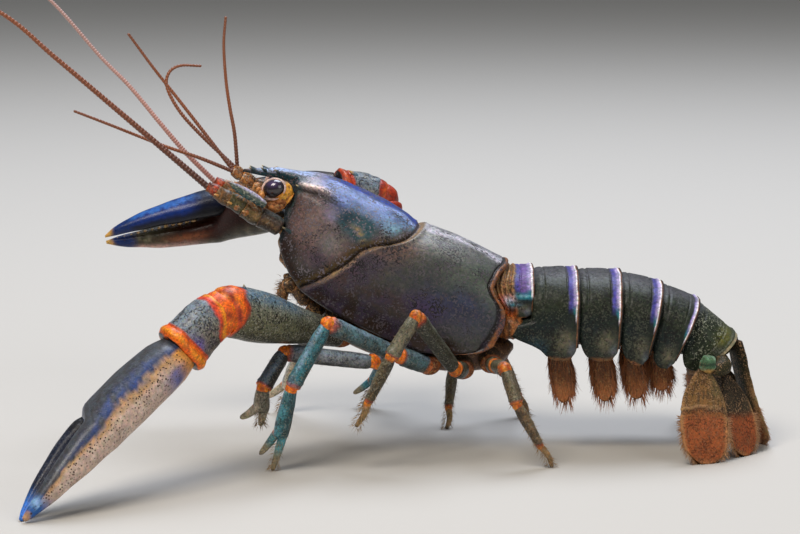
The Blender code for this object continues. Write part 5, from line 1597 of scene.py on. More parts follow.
@dataclass
class ClawArm:
    """Upper arm, wrist and claw of one side."""

    flank: Flank
    growths: Growths
    joints: ClassVar[dict] = {
        Flank.LEFT: ((-13.5, -10.5, 20.6), (-27.3, -25.2, 26.5), (-33.2, -28.4, 20.3), (-53.7, -50, 0.35)),
        Flank.RIGHT: ((-9.8, 13, 21), (-0.4, 22.3, 38.4), (-10.5, 19, 38.5), (-48.6, 13, 31.5))}
    backs: ClassVar[dict] = {Flank.LEFT: (-0.57, -0.18, 0.80), Flank.RIGHT: (-0.23, 0.88, 0.41)}
    cuts: ClassVar[dict] = {Flank.LEFT: 3.5, Flank.RIGHT: 7}
    elbow_radii: ClassVar[dict] = {Flank.LEFT: (3.5, 3.3), Flank.RIGHT: (2.85, 2.5)}
    wrist_radii: ClassVar[dict] = {Flank.LEFT: 4, Flank.RIGHT: 3.3}
    arches: ClassVar[dict] = {Flank.LEFT: 0.9, Flank.RIGHT: 0.3}
    palm: ClassVar[Knots] = (
        (0, 3.3, 3, 0), (0.08, 4.2, 3.7, 0.05), (0.2, 4.6, 3.9, 0.1), (0.35, 4.8, 3.9, 0.15), (0.44, 4.7, 3.8, 0.15),
        (0.49, 3.9, 3.45, -0.75), (0.54, 2.5, 3, -2.2), (0.63, 2.1, 2.7, -2.15), (0.76, 1.75, 2.1, -1.9),
        (0.88, 1.2, 1.4, -1.45), (0.96, 0.7, 0.75, -1), (1, 0.3, 0.3, -0.75))
    # Deep red, orange and a painted highlight for the raised folds, for each flank; the right flank's set is darker.
    warm: ClassVar[dict] = {Flank.LEFT: ("#CC3A1E", "#DE5E12", "#F29A1C"),
                            Flank.RIGHT: ("#8A2410", "#9A2C10", "#B8501C")}
    finger: ClassVar[Knots] = (
        (0.47, 1.6, 2.2, 2.4), (0.53, 2.05, 2.7, 2.65), (0.63, 1.85, 2.5, 2.5), (0.76, 1.55, 1.95, 2.2),
        (0.88, 1.1, 1.25, 1.6), (0.96, 0.65, 0.65, 0.95), (1, 0.22, 0.22, 0.4))

    def frame(self) -> tuple[Array, float, Array, Array, Array]:
        """Wrist, length, and the ways along, towards the moving finger and to the claw's back."""
        wrist, tip = (vec(*point) for point in self.joints[self.flank][2:])
        along = unit(tip - wrist)
        back = square_to(self.backs[self.flank], along)
        return wrist, float(np.linalg.norm(tip - wrist)), along, np.cross(along, back) * -self.flank.sign, back

    def hand(self, rows: Knots, places: Array) -> tuple[Array, Array, Array]:
        """Rings of the palm or the moving finger.

        Args:
            rows: place, half width, half depth and offset along the claw.
            places: where the rings stand.

        Returns:
            The rings, and how far each point leans to the claw's inner side and to its back.
        """
        wrist, length, along, inner, back = self.frame()
        wide, deep, off = (size[:, None, None] for size in columns(rows, places, 1, 2, 3))
        angle = turn(40)[:, None]
        c, s = squared_off(angle, 0.92)
        t = places[:, None, None]
        arch = self.arches[self.flank] * np.sin(math.pi * t)
        rings = wrist + along * t * length + inner * (off + wide * c) + back * (arch + deep * s)
        return rings, *(np.broadcast_to(v[:, 0], rings.shape[:2]) for v in (np.cos(angle), np.sin(angle)))

    def claw_paint(self, t: Array, inner: Array, back: Array, rings: Array, moving: bool) -> Paint:
        """Near claw: pale dotted face, slate back and deep blue streaks; far claw: red-brown and vivid blue."""
        wander, small = ripple(rings, 6, 41), ripple(rings, 1.7, 42)
        t = t[:, None] + 0.012 * wander + 0.004 * small
        upper = back + 0.1 * wander + 0.1 * small
        inner = inner + 0.06 * small
        if self.flank is Flank.RIGHT:
            ground, layers = ("#04102E", (
                # 2E6AB8 is a painted highlight along the moving finger's upper edge.
                ("#062A72", ease(inner, 0.05, 0.5)), ("#2E6AB8", 0.7 * ease(inner, 0.9, 0.99)),
                ("#060A16", ease(inner, -0.05, -0.5)), ("#06080E", 0.9 * ease(t, 0.66, 0.56)),
                ("#A09458", ease(inner, -0.82, -0.95)))) if moving else ("#3A3626", (
                    ("#6A6450", ease(small, 0.1, 0.8)), ("#2A0803", ease(inner, -0.5, 0.1) * ease(t, 0.8, 0.66)),
                    ("#0E0A0C", 0.8 * ease(t, 0.42, 0.3) * ease(inner, 0, 0.5)),
                    ("#9A5C3A", 0.7 * spot(t, 0.66, 0.08, inner, 0.2, 0.3)),
                    ("#B89084", ease(t, 0.56, 0.68) * ease(inner, 0.1, -0.4)),
                    ("#9C8E7A", ease(inner, -0.7, -0.95)), ("#3E5068", ease(upper, 0.3, 0.8))))
            paint = paint_on(rings, ground).lay_all((
                *layers, ("#0A2860", ease(t, 0.86, 0.91)), ("#C09448", ease(t, 0.96, 0.985))))
            return paint.mark(0 if moving else 0.5)
        if moving:
            return paint_on(rings, "#10182C").lay_all((
                ("#2450A8", ease(inner, 0.55, 0.85)), ("#3A3A48", ease(upper, -0.2, -0.7)),
                ("#14120E", 0.8 * ease(t, 0.6, 0.55)), ("#2E74D0", ease(t, 0.84, 0.95)))).mark(0.3, 0.1)
        border = upper - 0.3 + 0.03 * np.cos(t * 23)
        paint = paint_on(rings, "#BCA292").lay_all((
            ("#D0BCAC", 0.8 * ease(small, 0, 0.9)), ("#AE7E38", 0.8 * hill(border, -0.02, 0.12) * ease(t, 0.95, 0.85)),
            ("#D08A2E", 0.9 * ease(t, 0.14, 0.03) * ease(border, 0.3, 0)), ("#3A3A3C", ease(border, 0.02, 0.18)),
            ("#454C54", 0.8 * ease(border, 0.2, 0.5) * ease(small, -0.2, 0.6)),
            ("#22407E", 0.9 * spot(border, 0.28, 0.16, t, 0.36, 0.34) * ease(ripple(rings, 3.4, 44), -1.1, 0.1)),
            ("#3A4A90", 0.9 * spot(t, 0.13, 0.06, inner, -0.85, 0.3) * (back < 0)),
            ("#2C3C5E", 0.7 * ease(inner, 0.1, 0.6) * ease(t, 0.2, 0.5)),
            ("#1E569C", ease(t, 0.87, 0.93)), ("#9CC4EC", 0.7 * hill(t, 0.93, 0.02) * (back > 0)),
            ("#D09A4A", 0.7 * ease(t, 0.975, 0.99))))
        dots = ease(border, 0.12, 0) * (0.45 + 0.55 * ease(border, -0.75, -0.25))
        return paint.mark(0.2 + 0.8 * dots, 0.1 * ease(border, 0.1, 0.3))

    def build(self) -> None:
        """The arm, the wrist, the palm and the moving finger."""
        self.arm()
        self.wrist()
        even = np.linspace(0, 1, 74)
        even = 0.6 * even + 0.4 * (0.5 - 0.5 * np.cos(math.pi * even))
        for name, rows, moving, node in (("hand", self.palm, False, "palm"), ("dactyl", self.finger, True, "finger")):
            places = rows[0][0] + (1 - rows[0][0]) * even
            rings, inner, back = self.hand(rows, places)
            gape = -inner if moving else inner
            lift = 0.07 * ripple(rings, 5, 43) - 0.1 * hill(back, 0.62, 0.15) * ease(
                places[:, None], 0.5, 0.6) * (gape > -0.5)
            Sculpt().tube(relief(rings, lift), self.claw_paint(places, inner, back, rings, moving)).piece(
                f"claw_{self.flank.value}_{name}", CLAW_FINISH, (f"claw_{self.flank.value}_{node}",),
                "claw_blue" if moving else "claw_pale")
            self.teeth(rows, moving)

    def teeth(self, rows: Knots, moving: bool) -> None:
        """The blunt teeth along one finger's cutting edge."""
        wrist, length, along, inner, back = self.frame()
        places = np.linspace(0.62, 0.95, 30)
        t = places[:, None]
        wide, off = (size[:, None] for size in columns(rows, places, 1, 3))
        inward = -1 if moving else 1
        line = wrist + along * t * length + inner * (off + inward * (wide - 0.12))
        line = line + back * self.arches[self.flank] * np.sin(math.pi * t)
        name = f"claw_{self.flank.value}_teeth_{'dactyl' if moving else 'hand'}"
        colours = np.tile(linear("#C9A87A"), (len(line), 1))
        source = line_mesh(name + "_line", line, 0.55 * (1.1 - places) / 0.5, colours)
        mesh = self.growths.studs.grow(name, source, {"Spacing": 1.15 * MM, "Finish": CLAW_FINISH.build()})
        show(bpy.data.objects.new(name, mesh))

    def bend(self) -> tuple[Array, Array, Array, Array]:
        """Where the arm's straight part ends, the elbow's middle, where the wrist's begins, and the hint."""
        first, elbow, wrist, _ = (vec(*point) for point in self.joints[self.flank])
        start, end = (elbow + self.cuts[self.flank] * unit(side - elbow) for side in (first, wrist))
        return start, 0.25 * start + 0.5 * elbow + 0.25 * end, end, unit(np.cross(elbow - first, wrist - elbow))

    def arm(self) -> None:
        """The upper arm with its spines."""
        first, elbow, wrist, _ = (vec(*point) for point in self.joints[self.flank])
        start, middle, _, hint = self.bend()
        beside, radius = self.elbow_radii[self.flank]
        _, glow, fold_highlight = self.warm[self.flank]
        upper = Sweep((stub(self.flank, 1)[1], first, start, middle),
                      ((0, 1.7), (0.12, 2.05), (0.3, 2.45), (0.75, beside * 1.04), (0.93, beside), (1, radius)), hint,
                      1.12, (0.02, 0.05), 60, 44)
        rings = upper.rings()
        crease = ripple(rings, 2.2, 52)
        t = upper.along + 0.02 * ripple(rings, 4, 51)
        run = unit(middle - start)
        upright = 1 if square_to(UP, run) @ np.cross(run, square_to(hint, run)) >= 0 else -1
        high = np.broadcast_to(upright * np.sin(upper.angle)[None, :], rings.shape[:2])
        paint = upper.paint("#56543A").lay_all((
            # 6E7060 is painted light on the upper half, #1E221C painted shade on the underside.
            ("#6E7060", ease(high, 0, 0.7)), ("#6A6A50", 0.7 * ease(ripple(rings, 2.4, 57), 0, 0.7)),
            ("#3E6078", 0.8 * hill(high, 0.9, 0.25) * ease(t, 0.3, 0.5)), ("#1E221C", 0.8 * ease(high, -0.2, -0.9)),
            ("#2A2622", 0.8 * ease(t, 0.42, 0.2)),
            ("#A83414", ease(t, 0.885, 0.905)), (glow, ease(t, 0.9, 0.93) * ease(crease, -0.6, 0.3)),
            # The third warm colour is a painted highlight on the raised creases; #7A2410 is painted shade in the
            # creases.
            (fold_highlight, 0.7 * ease(t, 0.92, 0.96) * ease(crease, 0.2, 0.9)),
            ("#7A2410", 0.7 * ease(t, 0.89, 0.92) * ease(crease, -0.3, -0.9))))
        lift = 0.05 * ripple(rings, 4, 53) + 0.07 * crease * ease(t, 0.88, 0.93) - 0.1 * hill(t, 0.885, 0.01)
        paint.mark(0.9 - 0.6 * ease(t, 0.88, 0.9), 0.5 * ease(t, 0.9, 0.88))
        sculpt = Sculpt().tube(relief(rings, lift), paint)
        run = unit(elbow - first)
        crest = square_to(run - unit(wrist - elbow), run)
        for t, height in ((0.55, 3.2), (0.8, 3.7)):
            root = first + t * (elbow - first) + crest * (height - 1.1)
            sculpt.spike(root, root + crest * 1.9 + run * 1.1, 0.8, "#3A5A78", "#C9BFA0", 0.75, 0.15 * crest)
        sculpt.piece(f"arm_{self.flank.value}_merus", LIMB_FINISH, (f"arm_{self.flank.value}",), "leg_teal")

    def wrist(self) -> None:
        """The elbow's soft ball and the wrist with its orange ends and spine."""
        _, elbow, wrist, _ = (vec(*point) for point in self.joints[self.flank])
        _, _, along, inward, _ = self.frame()
        start, middle, end, hint = self.bend()
        beside, radius = self.elbow_radii[self.flank]
        redder, glow, fold_highlight = self.warm[self.flank]
        knob = ball(middle, (1.06 * radius, 1.04 * radius, 1.04 * radius), end - start, 30, 36)
        # The elbow ball: the third warm colour is a painted highlight on its raised lumps, #8A2A12 painted shade in
        # its hollows.
        sculpt = Sculpt().lumpy(knob, ripple(knob, 1.6, 58), 0.07, glow,
                                ((fold_highlight, 0.7, 0.2, 0.9), ("#8A2A12", 0.7, -0.2, -0.9)), (0.3,))
        flare = self.wrist_radii[self.flank]
        lower = Sweep((middle, end, wrist), ((0, radius), (0.25, beside), (0.6, 1.03 * beside), (0.85, 0.97 * flare),
                                             (1, 0.95 * flare)), hint, 1.12, (0.03, 0.03), 60, 44)
        rings = lower.rings()
        crease = ripple(rings, 1.8, 55)
        t = lower.along + 0.02 * ripple(rings, 3, 54)
        high = off_middle(rings)[..., 2] / flare
        reach = 0.2 + 0.16 * ease(high, 0.2, -0.6)
        near, far = ease(t, reach + 0.02, reach - 0.02), ease(t, 0.71, 0.74)
        paint = lower.paint("#6E6458").lay_all((
            ("#6C7A86", ease(high, -0.1, 0.6)), ("#3E3A44", 0.8 * ease(ripple(rings, 1.5, 59), 0.1, 0.7)),
            # 2E1C16 is painted shade on the underside.
            ("#4A3A90", 0.8 * spot(t, 0.7, 0.1, high, 0, 0.25)), ("#2E1C16", ease(high, -0.3, -0.8)),
            (redder, near), (glow, ease(t, reach - 0.06, reach - 0.12)),
            # The third warm colour is a painted highlight, in a band by the near end and on the raised collar.
            (fold_highlight, 0.9 * hill(t + 0.03 * crease, reach - 0.14, 0.05)), ("#B83A10", far), (glow, ease(t, 0.74, 0.78)),
            (fold_highlight, 0.8 * hill(t, 0.87, 0.05) * ease(crease, -1.2, 0)), ("#1C0E0A", ease(t, 0.965, 0.975))))
        warm = np.maximum(near, far)
        lift = 0.3 * hill(t, 0.88, 0.07) - 0.14 * hill(t, 0.77, 0.015) - 0.1 * hill(t, reach, 0.015)
        sculpt.tube(relief(rings, (lift + 0.06 * crease) * ease(t, 0.99, 0.95)),
                    paint.mark(0.85 - 0.6 * warm, 0.4 * (1 - warm)))
        root = elbow + 0.62 * (wrist - elbow) + inward * 2.2
        sculpt.spike(root, root + inward * 2.2 + along * 1.4, 0.8, "#4A6A7A", "#D9A24A", 0.6, 0.2 * inward)
        sculpt.piece(f"wrist_{self.flank.value}_carpus", LIMB_FINISH, (f"wrist_{self.flank.value}",), "joint_orange")


# Head appendages


@dataclass
class Face:
    """Eyes, feelers and mouth limbs of one side."""

    flank: Flank
    growths: Growths
    coat: Coat
    eye_centre: Triple = (5.4, 5, -0.1)
    eye_radius: float = 1.65
    stalks: ClassVar[dict] = {Flank.LEFT: ((-19.1, 5, 35.95), (-21.9, 5.2, 37.5), (-30.1, 6, 42.5)),
                              Flank.RIGHT: ((-19.1, 5, 35.95), (-21.9, 5.2, 37.2), (-29.8, 6, 41.8))}
    scale: Knots = ((-21.1, 7, 39.7), (-27.2, 7.9, 43.6))
    whip_paths: ClassVar[dict] = {
        Flank.LEFT: ((-30.3, -6, 42.6), (-37.1, -7.6, 48.8), (-44.8, -10, 55.9), (-52.9, -12.3, 63.3),
                     (-60.8, -14, 70.2), (-74, -19, 77.4), (-89, -27, 80)),
        Flank.RIGHT: ((-30, 6, 41.9), (-34.9, 6.9, 46.7), (-38.8, 8, 51.1), (-43.8, 9.6, 56.9),
                      (-48.7, 11, 61.7), (-56.9, 13, 70.7), (-67.5, 18, 78.5), (-79, 25.5, 84))}
    whip_radii: ClassVar[dict] = {Flank.LEFT: (0.56, 0.25), Flank.RIGHT: (0.44, 0.25)}
    whip_points: ClassVar[int] = 240
    antennule_stalk: Knots = ((-18.5, 1.8, 39.9), (-23.5, 2, 42.2), (-26.6, 2.3, 44.6))
    antennule_paths: ClassVar[dict] = {
        Flank.LEFT: (((-26.2, -2.5, 44.4), (-31.5, -4, 46.8), (-37.5, -5, 49), (-45.6, -7, 52.5), (-50.4, -8, 54.5)),
                     ((-26.2, -2.2, 44.4), (-30.4, -2.4, 50), (-34.8, -3, 55.9), (-38.6, -4, 61), (-42.2, -5, 66.2))),
        Flank.RIGHT: (((-26, 2.3, 44.4), (-26.4, 2.4, 49.9), (-27.1, 2.5, 54), (-27.7, 2.6, 58.5),
                       (-28, 2.8, 64.1), (-27.7, 3.4, 68.3)),
                      ((-26.2, 2.4, 44.4), (-32.1, 3.4, 49.9), (-35.4, 4, 53.6), (-37.3, 4.5, 57.3),
                       (-36.9, 5, 59.6), (-35.1, 5.5, 60.6), (-32.1, 6, 60.5)))}
    mouth_leg: Knots = ((-13.3, 2.8, 21.4), (-15.4, 2.7, 23.4), (-17.4, 2.6, 26.4), (-19.6, 2.8, 26), (-19.4, 3, 22.8))

    def build(self) -> None:
        """All of one side's pieces."""
        self.eye()
        self.antenna()
        self.antennules()
        self.maxilliped()

    def eye(self) -> None:
        """The flattened cornea in its pale lid, on a stalk with a yellow-orange crescent behind it."""
        sign, r, name = self.flank.sign, self.eye_radius, f"eye_{self.flank.value}"
        s, y, h = self.eye_centre
        centre = SHELL.point(s, sign * y, h) + vec(0.2, 0, -0.3)
        gaze = unit((-0.25, sign, 0.12))
        across = square_to((1, 0, 0.35), gaze)
        globe = ball(centre + 0.12 * r * gaze, (0.82 * r, 1.1 * r, 0.9 * r), gaze, 30, 40, across)
        high = (globe - centre)[..., 2] / r
        paint = paint_on(globe, "#1A0F12").lay_all((
            ("#4E3A6A", 0.75 * spot(high, 0.55, 0.3, globe[..., 0] - centre[0], -0.2, 0.9)),
            ("#2E1A16", ease(high, -0.3, -0.8))))
        Sculpt().tube(globe, paint).piece(name + "_globe", EYE_FINISH, (name,), "eye")
        sculpt = Sculpt()
        count = 48
        turns, angle = turn(count)[:, None, None], turn(14)[:, None]
        thick = (0.18 + 0.16 * (0.5 - 0.5 * np.cos(turns))) * np.cos(angle)
        lid = (centre + 0.08 * r * gaze + (1.1 * r + thick) * np.cos(turns) * across
               + (0.91 * r + thick) * np.sin(turns) * np.cross(across, gaze) * sign + 0.3 * np.sin(angle) * gaze)
        for half in (lid[:count // 2 + 1], np.concatenate((lid[count // 2:], lid[:1]))):
            sculpt.tube(half, paint_on(half, "#D2B4A8"))
        root = SHELL.point(8.6, sign * 4.2, -0.9)
        stalk = Sweep((root, 0.5 * (root + centre) - 0.3 * gaze, centre - 0.2 * gaze),
                      ((0, 1.2), (0.5, 1.4), (1, 1.56)), UP, 1.05, (0, 0.1), 26, 32)
        rings = stalk.rings()
        sculpt.lumpy(rings, ripple(rings, 1.1, 66), 0.03, "#D8862A", (
            ("#C9A08C", ease(stalk.along, 0.75, 0.95)), ("#8A4A22", 0.7, 0.2, 0.8), ("#E8B04A", 0.6, -0.2, -0.8)),
            (0.3, 0.2))
        for (s, y, h), radius in (((4.3, 5.3, -1.9), 0.75), ((3.5, 5.1, -1.5), 0.5)):
            lump = ball(SHELL.point(s, sign * y, h), (radius, radius, 0.85 * radius), gaze)
            sculpt.lumpy(lump, ripple(lump, 0.9, 67), 0.05, "#B8733A", (
                ("#D9A05A", 0.7 * ease(ripple(lump, 1.1, 68), 0, 0.7)),), (0.5, 0.4))
        sculpt.piece(name + "_stalk_and_lid", SKIN_FINISH)
        hollow = centre + vec(0.95, -sign * 0.75, -0.75)
        wide = 2.05
        socket = ball(hollow, (1.5, wide, wide), gaze, 30, 40)
        low = (hollow[2] - socket[..., 2]) / wide
        under = ball(hollow + vec(-0.9, -sign * 0.2, -2), (1.2, 1.9, 1.15), gaze, 22, 32, (1, 0, 0.3))
        Sculpt().lumpy(socket, ripple(socket, 1, 61), 0.07, "#C88A24", (
            ("#E6AE3E", 0.8, 0, 0.7), ("#7E4418", 0.75, -0.15, -0.8), ("#A8643A", ease(low, 0.25, 0.6)),
            ("#5E3824", ease(low, 0.65, 0.95)), ("#3A2A22", ease(low, -0.7, -0.95))), (0.5, 0.3)).lumpy(
                under, ripple(under, 1.1, 69), 0.07, "#A26438",
                (("#C88A4E", 0.8, 0, 0.7), ("#4E3222", 0.8, -0.1, -0.8)), (0.6, 0.5)).piece(
                    name + "_socket", SKIN_FINISH)

    def antenna(self) -> None:
        """The jointed, spiny stalk with its long narrow scale, and the ringed whip."""
        name, left = f"antenna_{self.flank.value}", self.flank is Flank.LEFT
        base, bend, tip = (self.flank.place(p) for p in self.stalks[self.flank])
        run = unit(tip - bend)
        out = self.flank.sign * SIDE
        sculpt = Sculpt()
        spans = ((base - 0.5 * run, bend + 0.5 * run, 1.4, 1.5, "#3E2E22"),
                 (bend, bend + 0.34 * (tip - bend), 1.5, 1.35, "#5E4C2C"),
                 (bend + 0.3 * (tip - bend), bend + 0.62 * (tip - bend), 1.34, 1.2, "#565030"),
                 (bend + 0.58 * (tip - bend), bend + 0.86 * (tip - bend), 1.18, 1, "#7A5630"),
                 (bend + 0.82 * (tip - bend), tip + 0.2 * run, 0.95, 0.74, "#A83E1E"))
        for i, (start, end, near, far, code) in enumerate(spans):
            part = Sweep((start, 0.5 * (start + end) + 0.12 * (-1) ** i * UP, end),
                         ((0, 0.88 * near), (0.25, near), (0.75, far), (0.93, far * 1.04), (1, 0.92 * far)), SIDE,
                         1.08, (0.1, 0.1), 26, 30)
            rings = part.rings()
            lumps, high = ripple(rings, 2.4, 64 + i), off_middle(rings)[..., 2] / near
            # 5A6A72 is a painted highlight along the top; #1E1812 is painted shade on the underside.
            sculpt.lumpy(rings, lumps, 0.06, code, (
                ("#8A6A44", 0.5, 0.2, 0.9), ("#2C2418", 0.7, -0.2, -0.9),
                ("#5A6A72", 0.6 * ease(high, 0.5, 0.9) * ease(part.along, 0.9, 0.7)),
                ("#96602E", 0.7 * ease(part.along + 0.05 * lumps, 0.9, 0.96)),
                ("#1E1812", 0.8 * ease(high, -0.3, -0.9))), (0.6, 0.2))
            if 0 < i < 4:
                root = start + 0.8 * (end - start) + out * 0.8 * far - 0.3 * UP
                sculpt.spike(root, root + 0.7 * run + 0.6 * out - 0.1 * UP, 0.3, "#C08A4A", "#E8C890", 0.5)
        for place, radius in ((0.28, 0.72), (0.44, 0.6)):
            lump = ball(bend + place * (tip - bend) + 0.8 * out - 0.35 * UP, (radius, radius, radius), run, 14, 20)
            sculpt.lumpy(lump, ripple(lump, 0.9, 63), 0.05, "#96602E", (
                ("#7A3E1C", 0.7 * ease(ripple(lump, 1, 62), 0, 0.7)),), (0.6, 0.4))
        root, end = (self.flank.place(p) for p in self.scale)
        blade = Blade(root, end, (0.2, 0.5 if left else -0.5, 0.9), 0.85, 0.2, 0.8, SCALE_SHAPE, rows=36, columns=17)
        rings = blade.rings(0.02, 0.2)
        high = off_middle(rings)[..., 2]
        # The scale: a painted highlight along its top (#B4AEC8), and a darker teal underneath that is partly painted
        # shade.
        sculpt.tube(rings, blade.paint("#4E5A50").lay_all((
            ("#1E4448", ease(high, 0.1, -0.5)), ("#B4AEC8", ease(high, 0.2, 0.5)),
            ("#C98A7A", ease(blade.t, 0.88, 1)))).mark(0.5, 0.5))
        link = Sweep((bend, 0.6 * root + 0.4 * end), ((0, 0.85), (1, 0.6)), UP, 1, (0.1, 0.1), 12, 14)
        sculpt.tube(link.rings(), link.paint("#6A4A2E").mark(0.5, 0.5))
        tooth = end - 0.16 * (end - root)
        sculpt.spike(tooth, tooth + 1.5 * unit(end - root), 0.34, "#D09A8A", "#E8CFC0", 0.5)
        sculpt.piece(name + "_stalk", LIMB_FINISH, (f"antenna_stalk_{self.flank.value}",), "soft_underside")
        edge = np.vstack((rings[8:, 0], rings[::-1, blade.columns - 1][:-8]))
        count = 110
        picks = np.sort(self.coat.random.integers(0, len(edge), count))
        middle = rings[:, blade.columns // 2].mean(0)
        self.coat.sow(edge[picks] + self.coat.random.normal(0, 0.06, (count, 3)), edge[picks] - middle, 0.9, 0.04,
                      ("#8A5A34", "#C98A4A"), 0.15, 0.05)
        first, last = self.whip_radii[self.flank]
        codes = ("#4A2414", "#7A4020", "#8A4A26", "#6E4028") if left else ("#9A6458", "#B48478", "#AC8880", "#8A6A60")
        self.whip(name + "_whip", [self.whip_paths[self.flank]], (first * 1.06, last), codes, 0.62 if left else 0.45,
                  (name,))

    def whip(self, name: str, paths: Sequence[Knots], radii: tuple[float, float], codes: Sequence[str],
             spacing: float, nodes: Sequence[str]) -> None:
        """Ringed feelers along one or more paths, as one piece.

        Args:
            name: the piece's name.
            paths: the points that each feeler passes.
            radii: radius at the root and at the tip.
            codes: colours from root to tip.
            spacing: length of a ring in millimetres.
            nodes: the solids' nodes that the piece stands for.
        """
        work = bmesh.new()
        for path in paths:
            line = smooth_path(path, self.whip_points)
            share = np.linspace(0, 1, len(line))
            girth = radii[0] + (radii[1] - radii[0]) * share
            source = line_mesh(name + "_line", line, girth, blend_colours(codes, share))
            mesh = self.growths.feeler.grow(name, source, {
                "Spacing": spacing * MM, "Core share": 0.84, "Finish": FEELER_FINISH.build()})
            work.from_mesh(mesh)
        work.to_mesh(mesh)
        work.free()
        show(bpy.data.objects.new(name, mesh), nodes)

    def antennules(self) -> None:
        """The short inner stalk and its two thin ringed whips."""
        side = self.flank.value
        base, middle, tip = (self.flank.place(p) for p in self.antennule_stalk)
        sculpt = Sculpt()
        for start, end, radius in ((base, middle, 1), (middle - 0.2 * unit(tip - middle),
                                                         0.45 * middle + 0.55 * tip, 0.85),
                                   (0.5 * (middle + tip), tip, 0.68)):
            girth = ((0, 0.75 * radius), (0.4, radius), (0.8, radius * 0.95), (1, 0.8 * radius))
            part = Sweep((start, 0.5 * (start + end), end), girth, SIDE, 1.1, (0.16, 0.16), 22, 24)
            rings = part.rings()
            sculpt.lumpy(rings, ripple(rings, 1.8, 65), 0.06, "#855428", (
                ("#B88044", 0.7, 0.1, 0.8), ("#3E3020", 0.8, -0.2, -0.8),
                ("#D08A4A", 0.8 * ease(part.along, 0.85, 0.95))), (0.7, 0.6))
        sculpt.piece(f"antennule_{side}_stalk", LIMB_FINISH)
        self.whip(f"antennule_{side}_whips", self.antennule_paths[self.flank], (0.36, 0.24),
                  ("#5E3018", "#8A4A22", "#7A4426"), 0.5, (f"antennule_{side}",))

    def maxilliped(self) -> None:
        """The leg-like mouth limb, folded with its end bent down and bearded with setae."""
        points = [self.flank.place(p) + vec(0.9, 0, 0) for p in self.mouth_leg]
        count = 90
        sculpt = Sculpt()
        for i, radius in enumerate((1.15, 1.35, 1.2, 0.85)):
            start, end = points[i], points[i + 1]
            far = radius * 0.92 if i < 3 else 0.3
            part = Sweep((start, 0.5 * (start + end), end), ((0, 0.8 * radius), (0.3, radius), (0.85, far),
                                                             (1, 0.9 * far)), SIDE, 1.1, (0.12, 0.1), 18, 20)
            rings = part.rings()
            sculpt.lumpy(rings, ripple(rings, 1.6, 73), 0.05, "#54402E", (
                ("#8E623A", 0.8, 0, 0.7), ("#1E1812", 0.7, -0.2, -0.9), ("#A8683A", ease(part.along, 0.85, 1))),
                (0.7, 0.6))
            at = np.sort(self.coat.random.uniform(0.1, 1, count))[:, None]
            out = units(self.coat.random.normal(size=(count, 3)) + vec(-0.9, 0, -0.6))
            self.coat.sow(start + at * (end - start) + 0.85 * radius * out, out, 1, 0.04, ("#6A4426", "#B98A5A"),
                          0.2, 0.2)
        side = self.flank.value
        sculpt.piece(f"maxilliped_{side}", SKIN_FINISH, (f"mouth_leg_{side}",), "soft_underside")


def mouth() -> None:
    """Mandibles and the plate before them."""
    sculpt = Sculpt()
    for (s, out, h), sizes, code in (((10.8, 0, -7.4), (2.4, 3.4, 2.6), "#4E3826"),
                                     ((11.6, 1.9, -9.8), (2, 1.5, 1.7), "#6E4A30"),
                                     ((9.4, 3.3, -3.6), (1.7, 1.5, 1.9), "#6A4A2E"),
                                     ((8.6, 3.6, -5.6), (1.1, 1.1, 1.2), "#7A5434")):
        for y in sorted({-out, out}):
            rings = ball(SHELL.point(s + 1.3, y, h), sizes, SHELL.axis, 26, 36)
            lumps = ripple(rings, 1.5, 71)
            paint = paint_on(rings, code).lay_all((
                ("#A0764A", 0.75 * ease(lumps, 0.1, 0.8)), ("#1E1610", 0.8 * ease(lumps, -0.1, -0.8))))
            sculpt.tube(relief(rings, 0.12 * ripple(rings, 2, 72) + 0.06 * lumps), paint.mark(0.8, 0.6))
    sculpt.piece("mouthparts", SKIN_FINISH)


# Studio


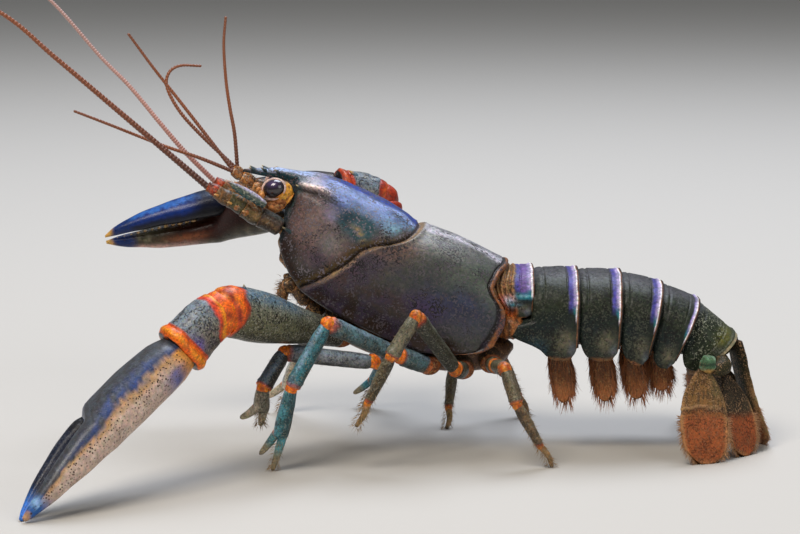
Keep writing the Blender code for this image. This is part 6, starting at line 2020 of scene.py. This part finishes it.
@dataclass(frozen=True)
class Studio:
    """A plain pale floor, soft lamps and the camera of the photograph."""

    aim: Triple = (15.2, 11.8, 28.8)
    distance: float = 400
    elevation: float = math.radians(9)
    lens: float = 112.5
    floor_colour: str = "#BFBCB6"

    def build(self) -> None:
        """The floor, the lamps, the world's light and the camera."""
        scene = bpy.context.scene
        scene.view_settings.view_transform = "Standard"
        mesh = bpy.data.meshes.new("floor")
        mesh.from_pydata([(6 * math.cos(a), 6 * math.sin(a), 0) for a in turn(64)], [], [list(range(64))])
        made = bpy.data.materials.new("matt_painted_floor")
        made.use_nodes = True
        set_inputs(made.node_tree, made.node_tree.nodes["Principled BSDF"],
                   {"Base Color": (*linear(self.floor_colour), 1), "Roughness": 0.85})
        mesh.materials.append(made)
        floor = bpy.data.objects.new("floor", mesh)
        scene.collection.objects.link(floor)
        self.lamp("key", (-0.3, -0.45, 0.8), 0.4, 6.5, "#FFF6EA")
        self.lamp("over", (0.1, 0.35, 0.75), 0.5, 6.5, "#EAF1FF")
        self.lamp("fill", (0.6, -0.6, 0.35), 0.5, 1.6, "#FFFFFF")
        world = bpy.data.worlds.new("studio")
        world.use_nodes = True
        set_inputs(world.node_tree, world.node_tree.nodes["Background"], {0: (*linear("#E9EDF2"), 1), 1: 0.22})
        scene.world = world
        camera = bpy.data.cameras.new("camera")
        camera.sensor_width = 36
        camera.lens = self.lens
        camera.clip_start = 0.001
        holder = bpy.data.objects.new("camera", camera)
        back = Vector((0, -math.cos(self.elevation), math.sin(self.elevation)))
        holder.location = (Vector(self.aim) + back * self.distance) * MM
        holder.rotation_euler = (math.pi / 2 - self.elevation, 0, 0)
        scene.collection.objects.link(holder)
        scene.camera = holder

    def lamp(self, name: str, place: Triple, size: float, power: float, code: str) -> None:
        """A soft square lamp that faces the animal."""
        lamp = bpy.data.lights.new(name, "AREA")
        lamp.size = size
        lamp.energy = power
        lamp.color = linear(code)
        holder = bpy.data.objects.new(name, lamp)
        holder.location = place
        holder.rotation_euler = (Vector((0, 0, 0.03)) - Vector(place)).to_track_quat("-Z", "Y").to_euler()
        bpy.context.scene.collection.objects.link(holder)


def main() -> None:
    """Builds every piece, then the studio."""
    logging.basicConfig(level=logging.INFO, format="%(message)s")
    growths = Growths(ringed_feeler(), bristle_coat(), stud_row())
    SHELL.build()
    mouth()
    for number in range(1, 7):
        TailRing(number).build()
    TailFan(growths).build()
    Underside(growths).build()
    legs, face = Coat("leg_setae", 13), Coat("face_setae", 17)
    for flank in Flank:
        Face(flank, growths, face).build()
        ClawArm(flank, growths).build()
        for number in LEG_COLOURS:
            WalkingLeg(flank, number, legs).build()
    legs.grow(growths.bristles)
    face.grow(growths.bristles)
    Studio().build()


if __name__ == "__main__":
    main()
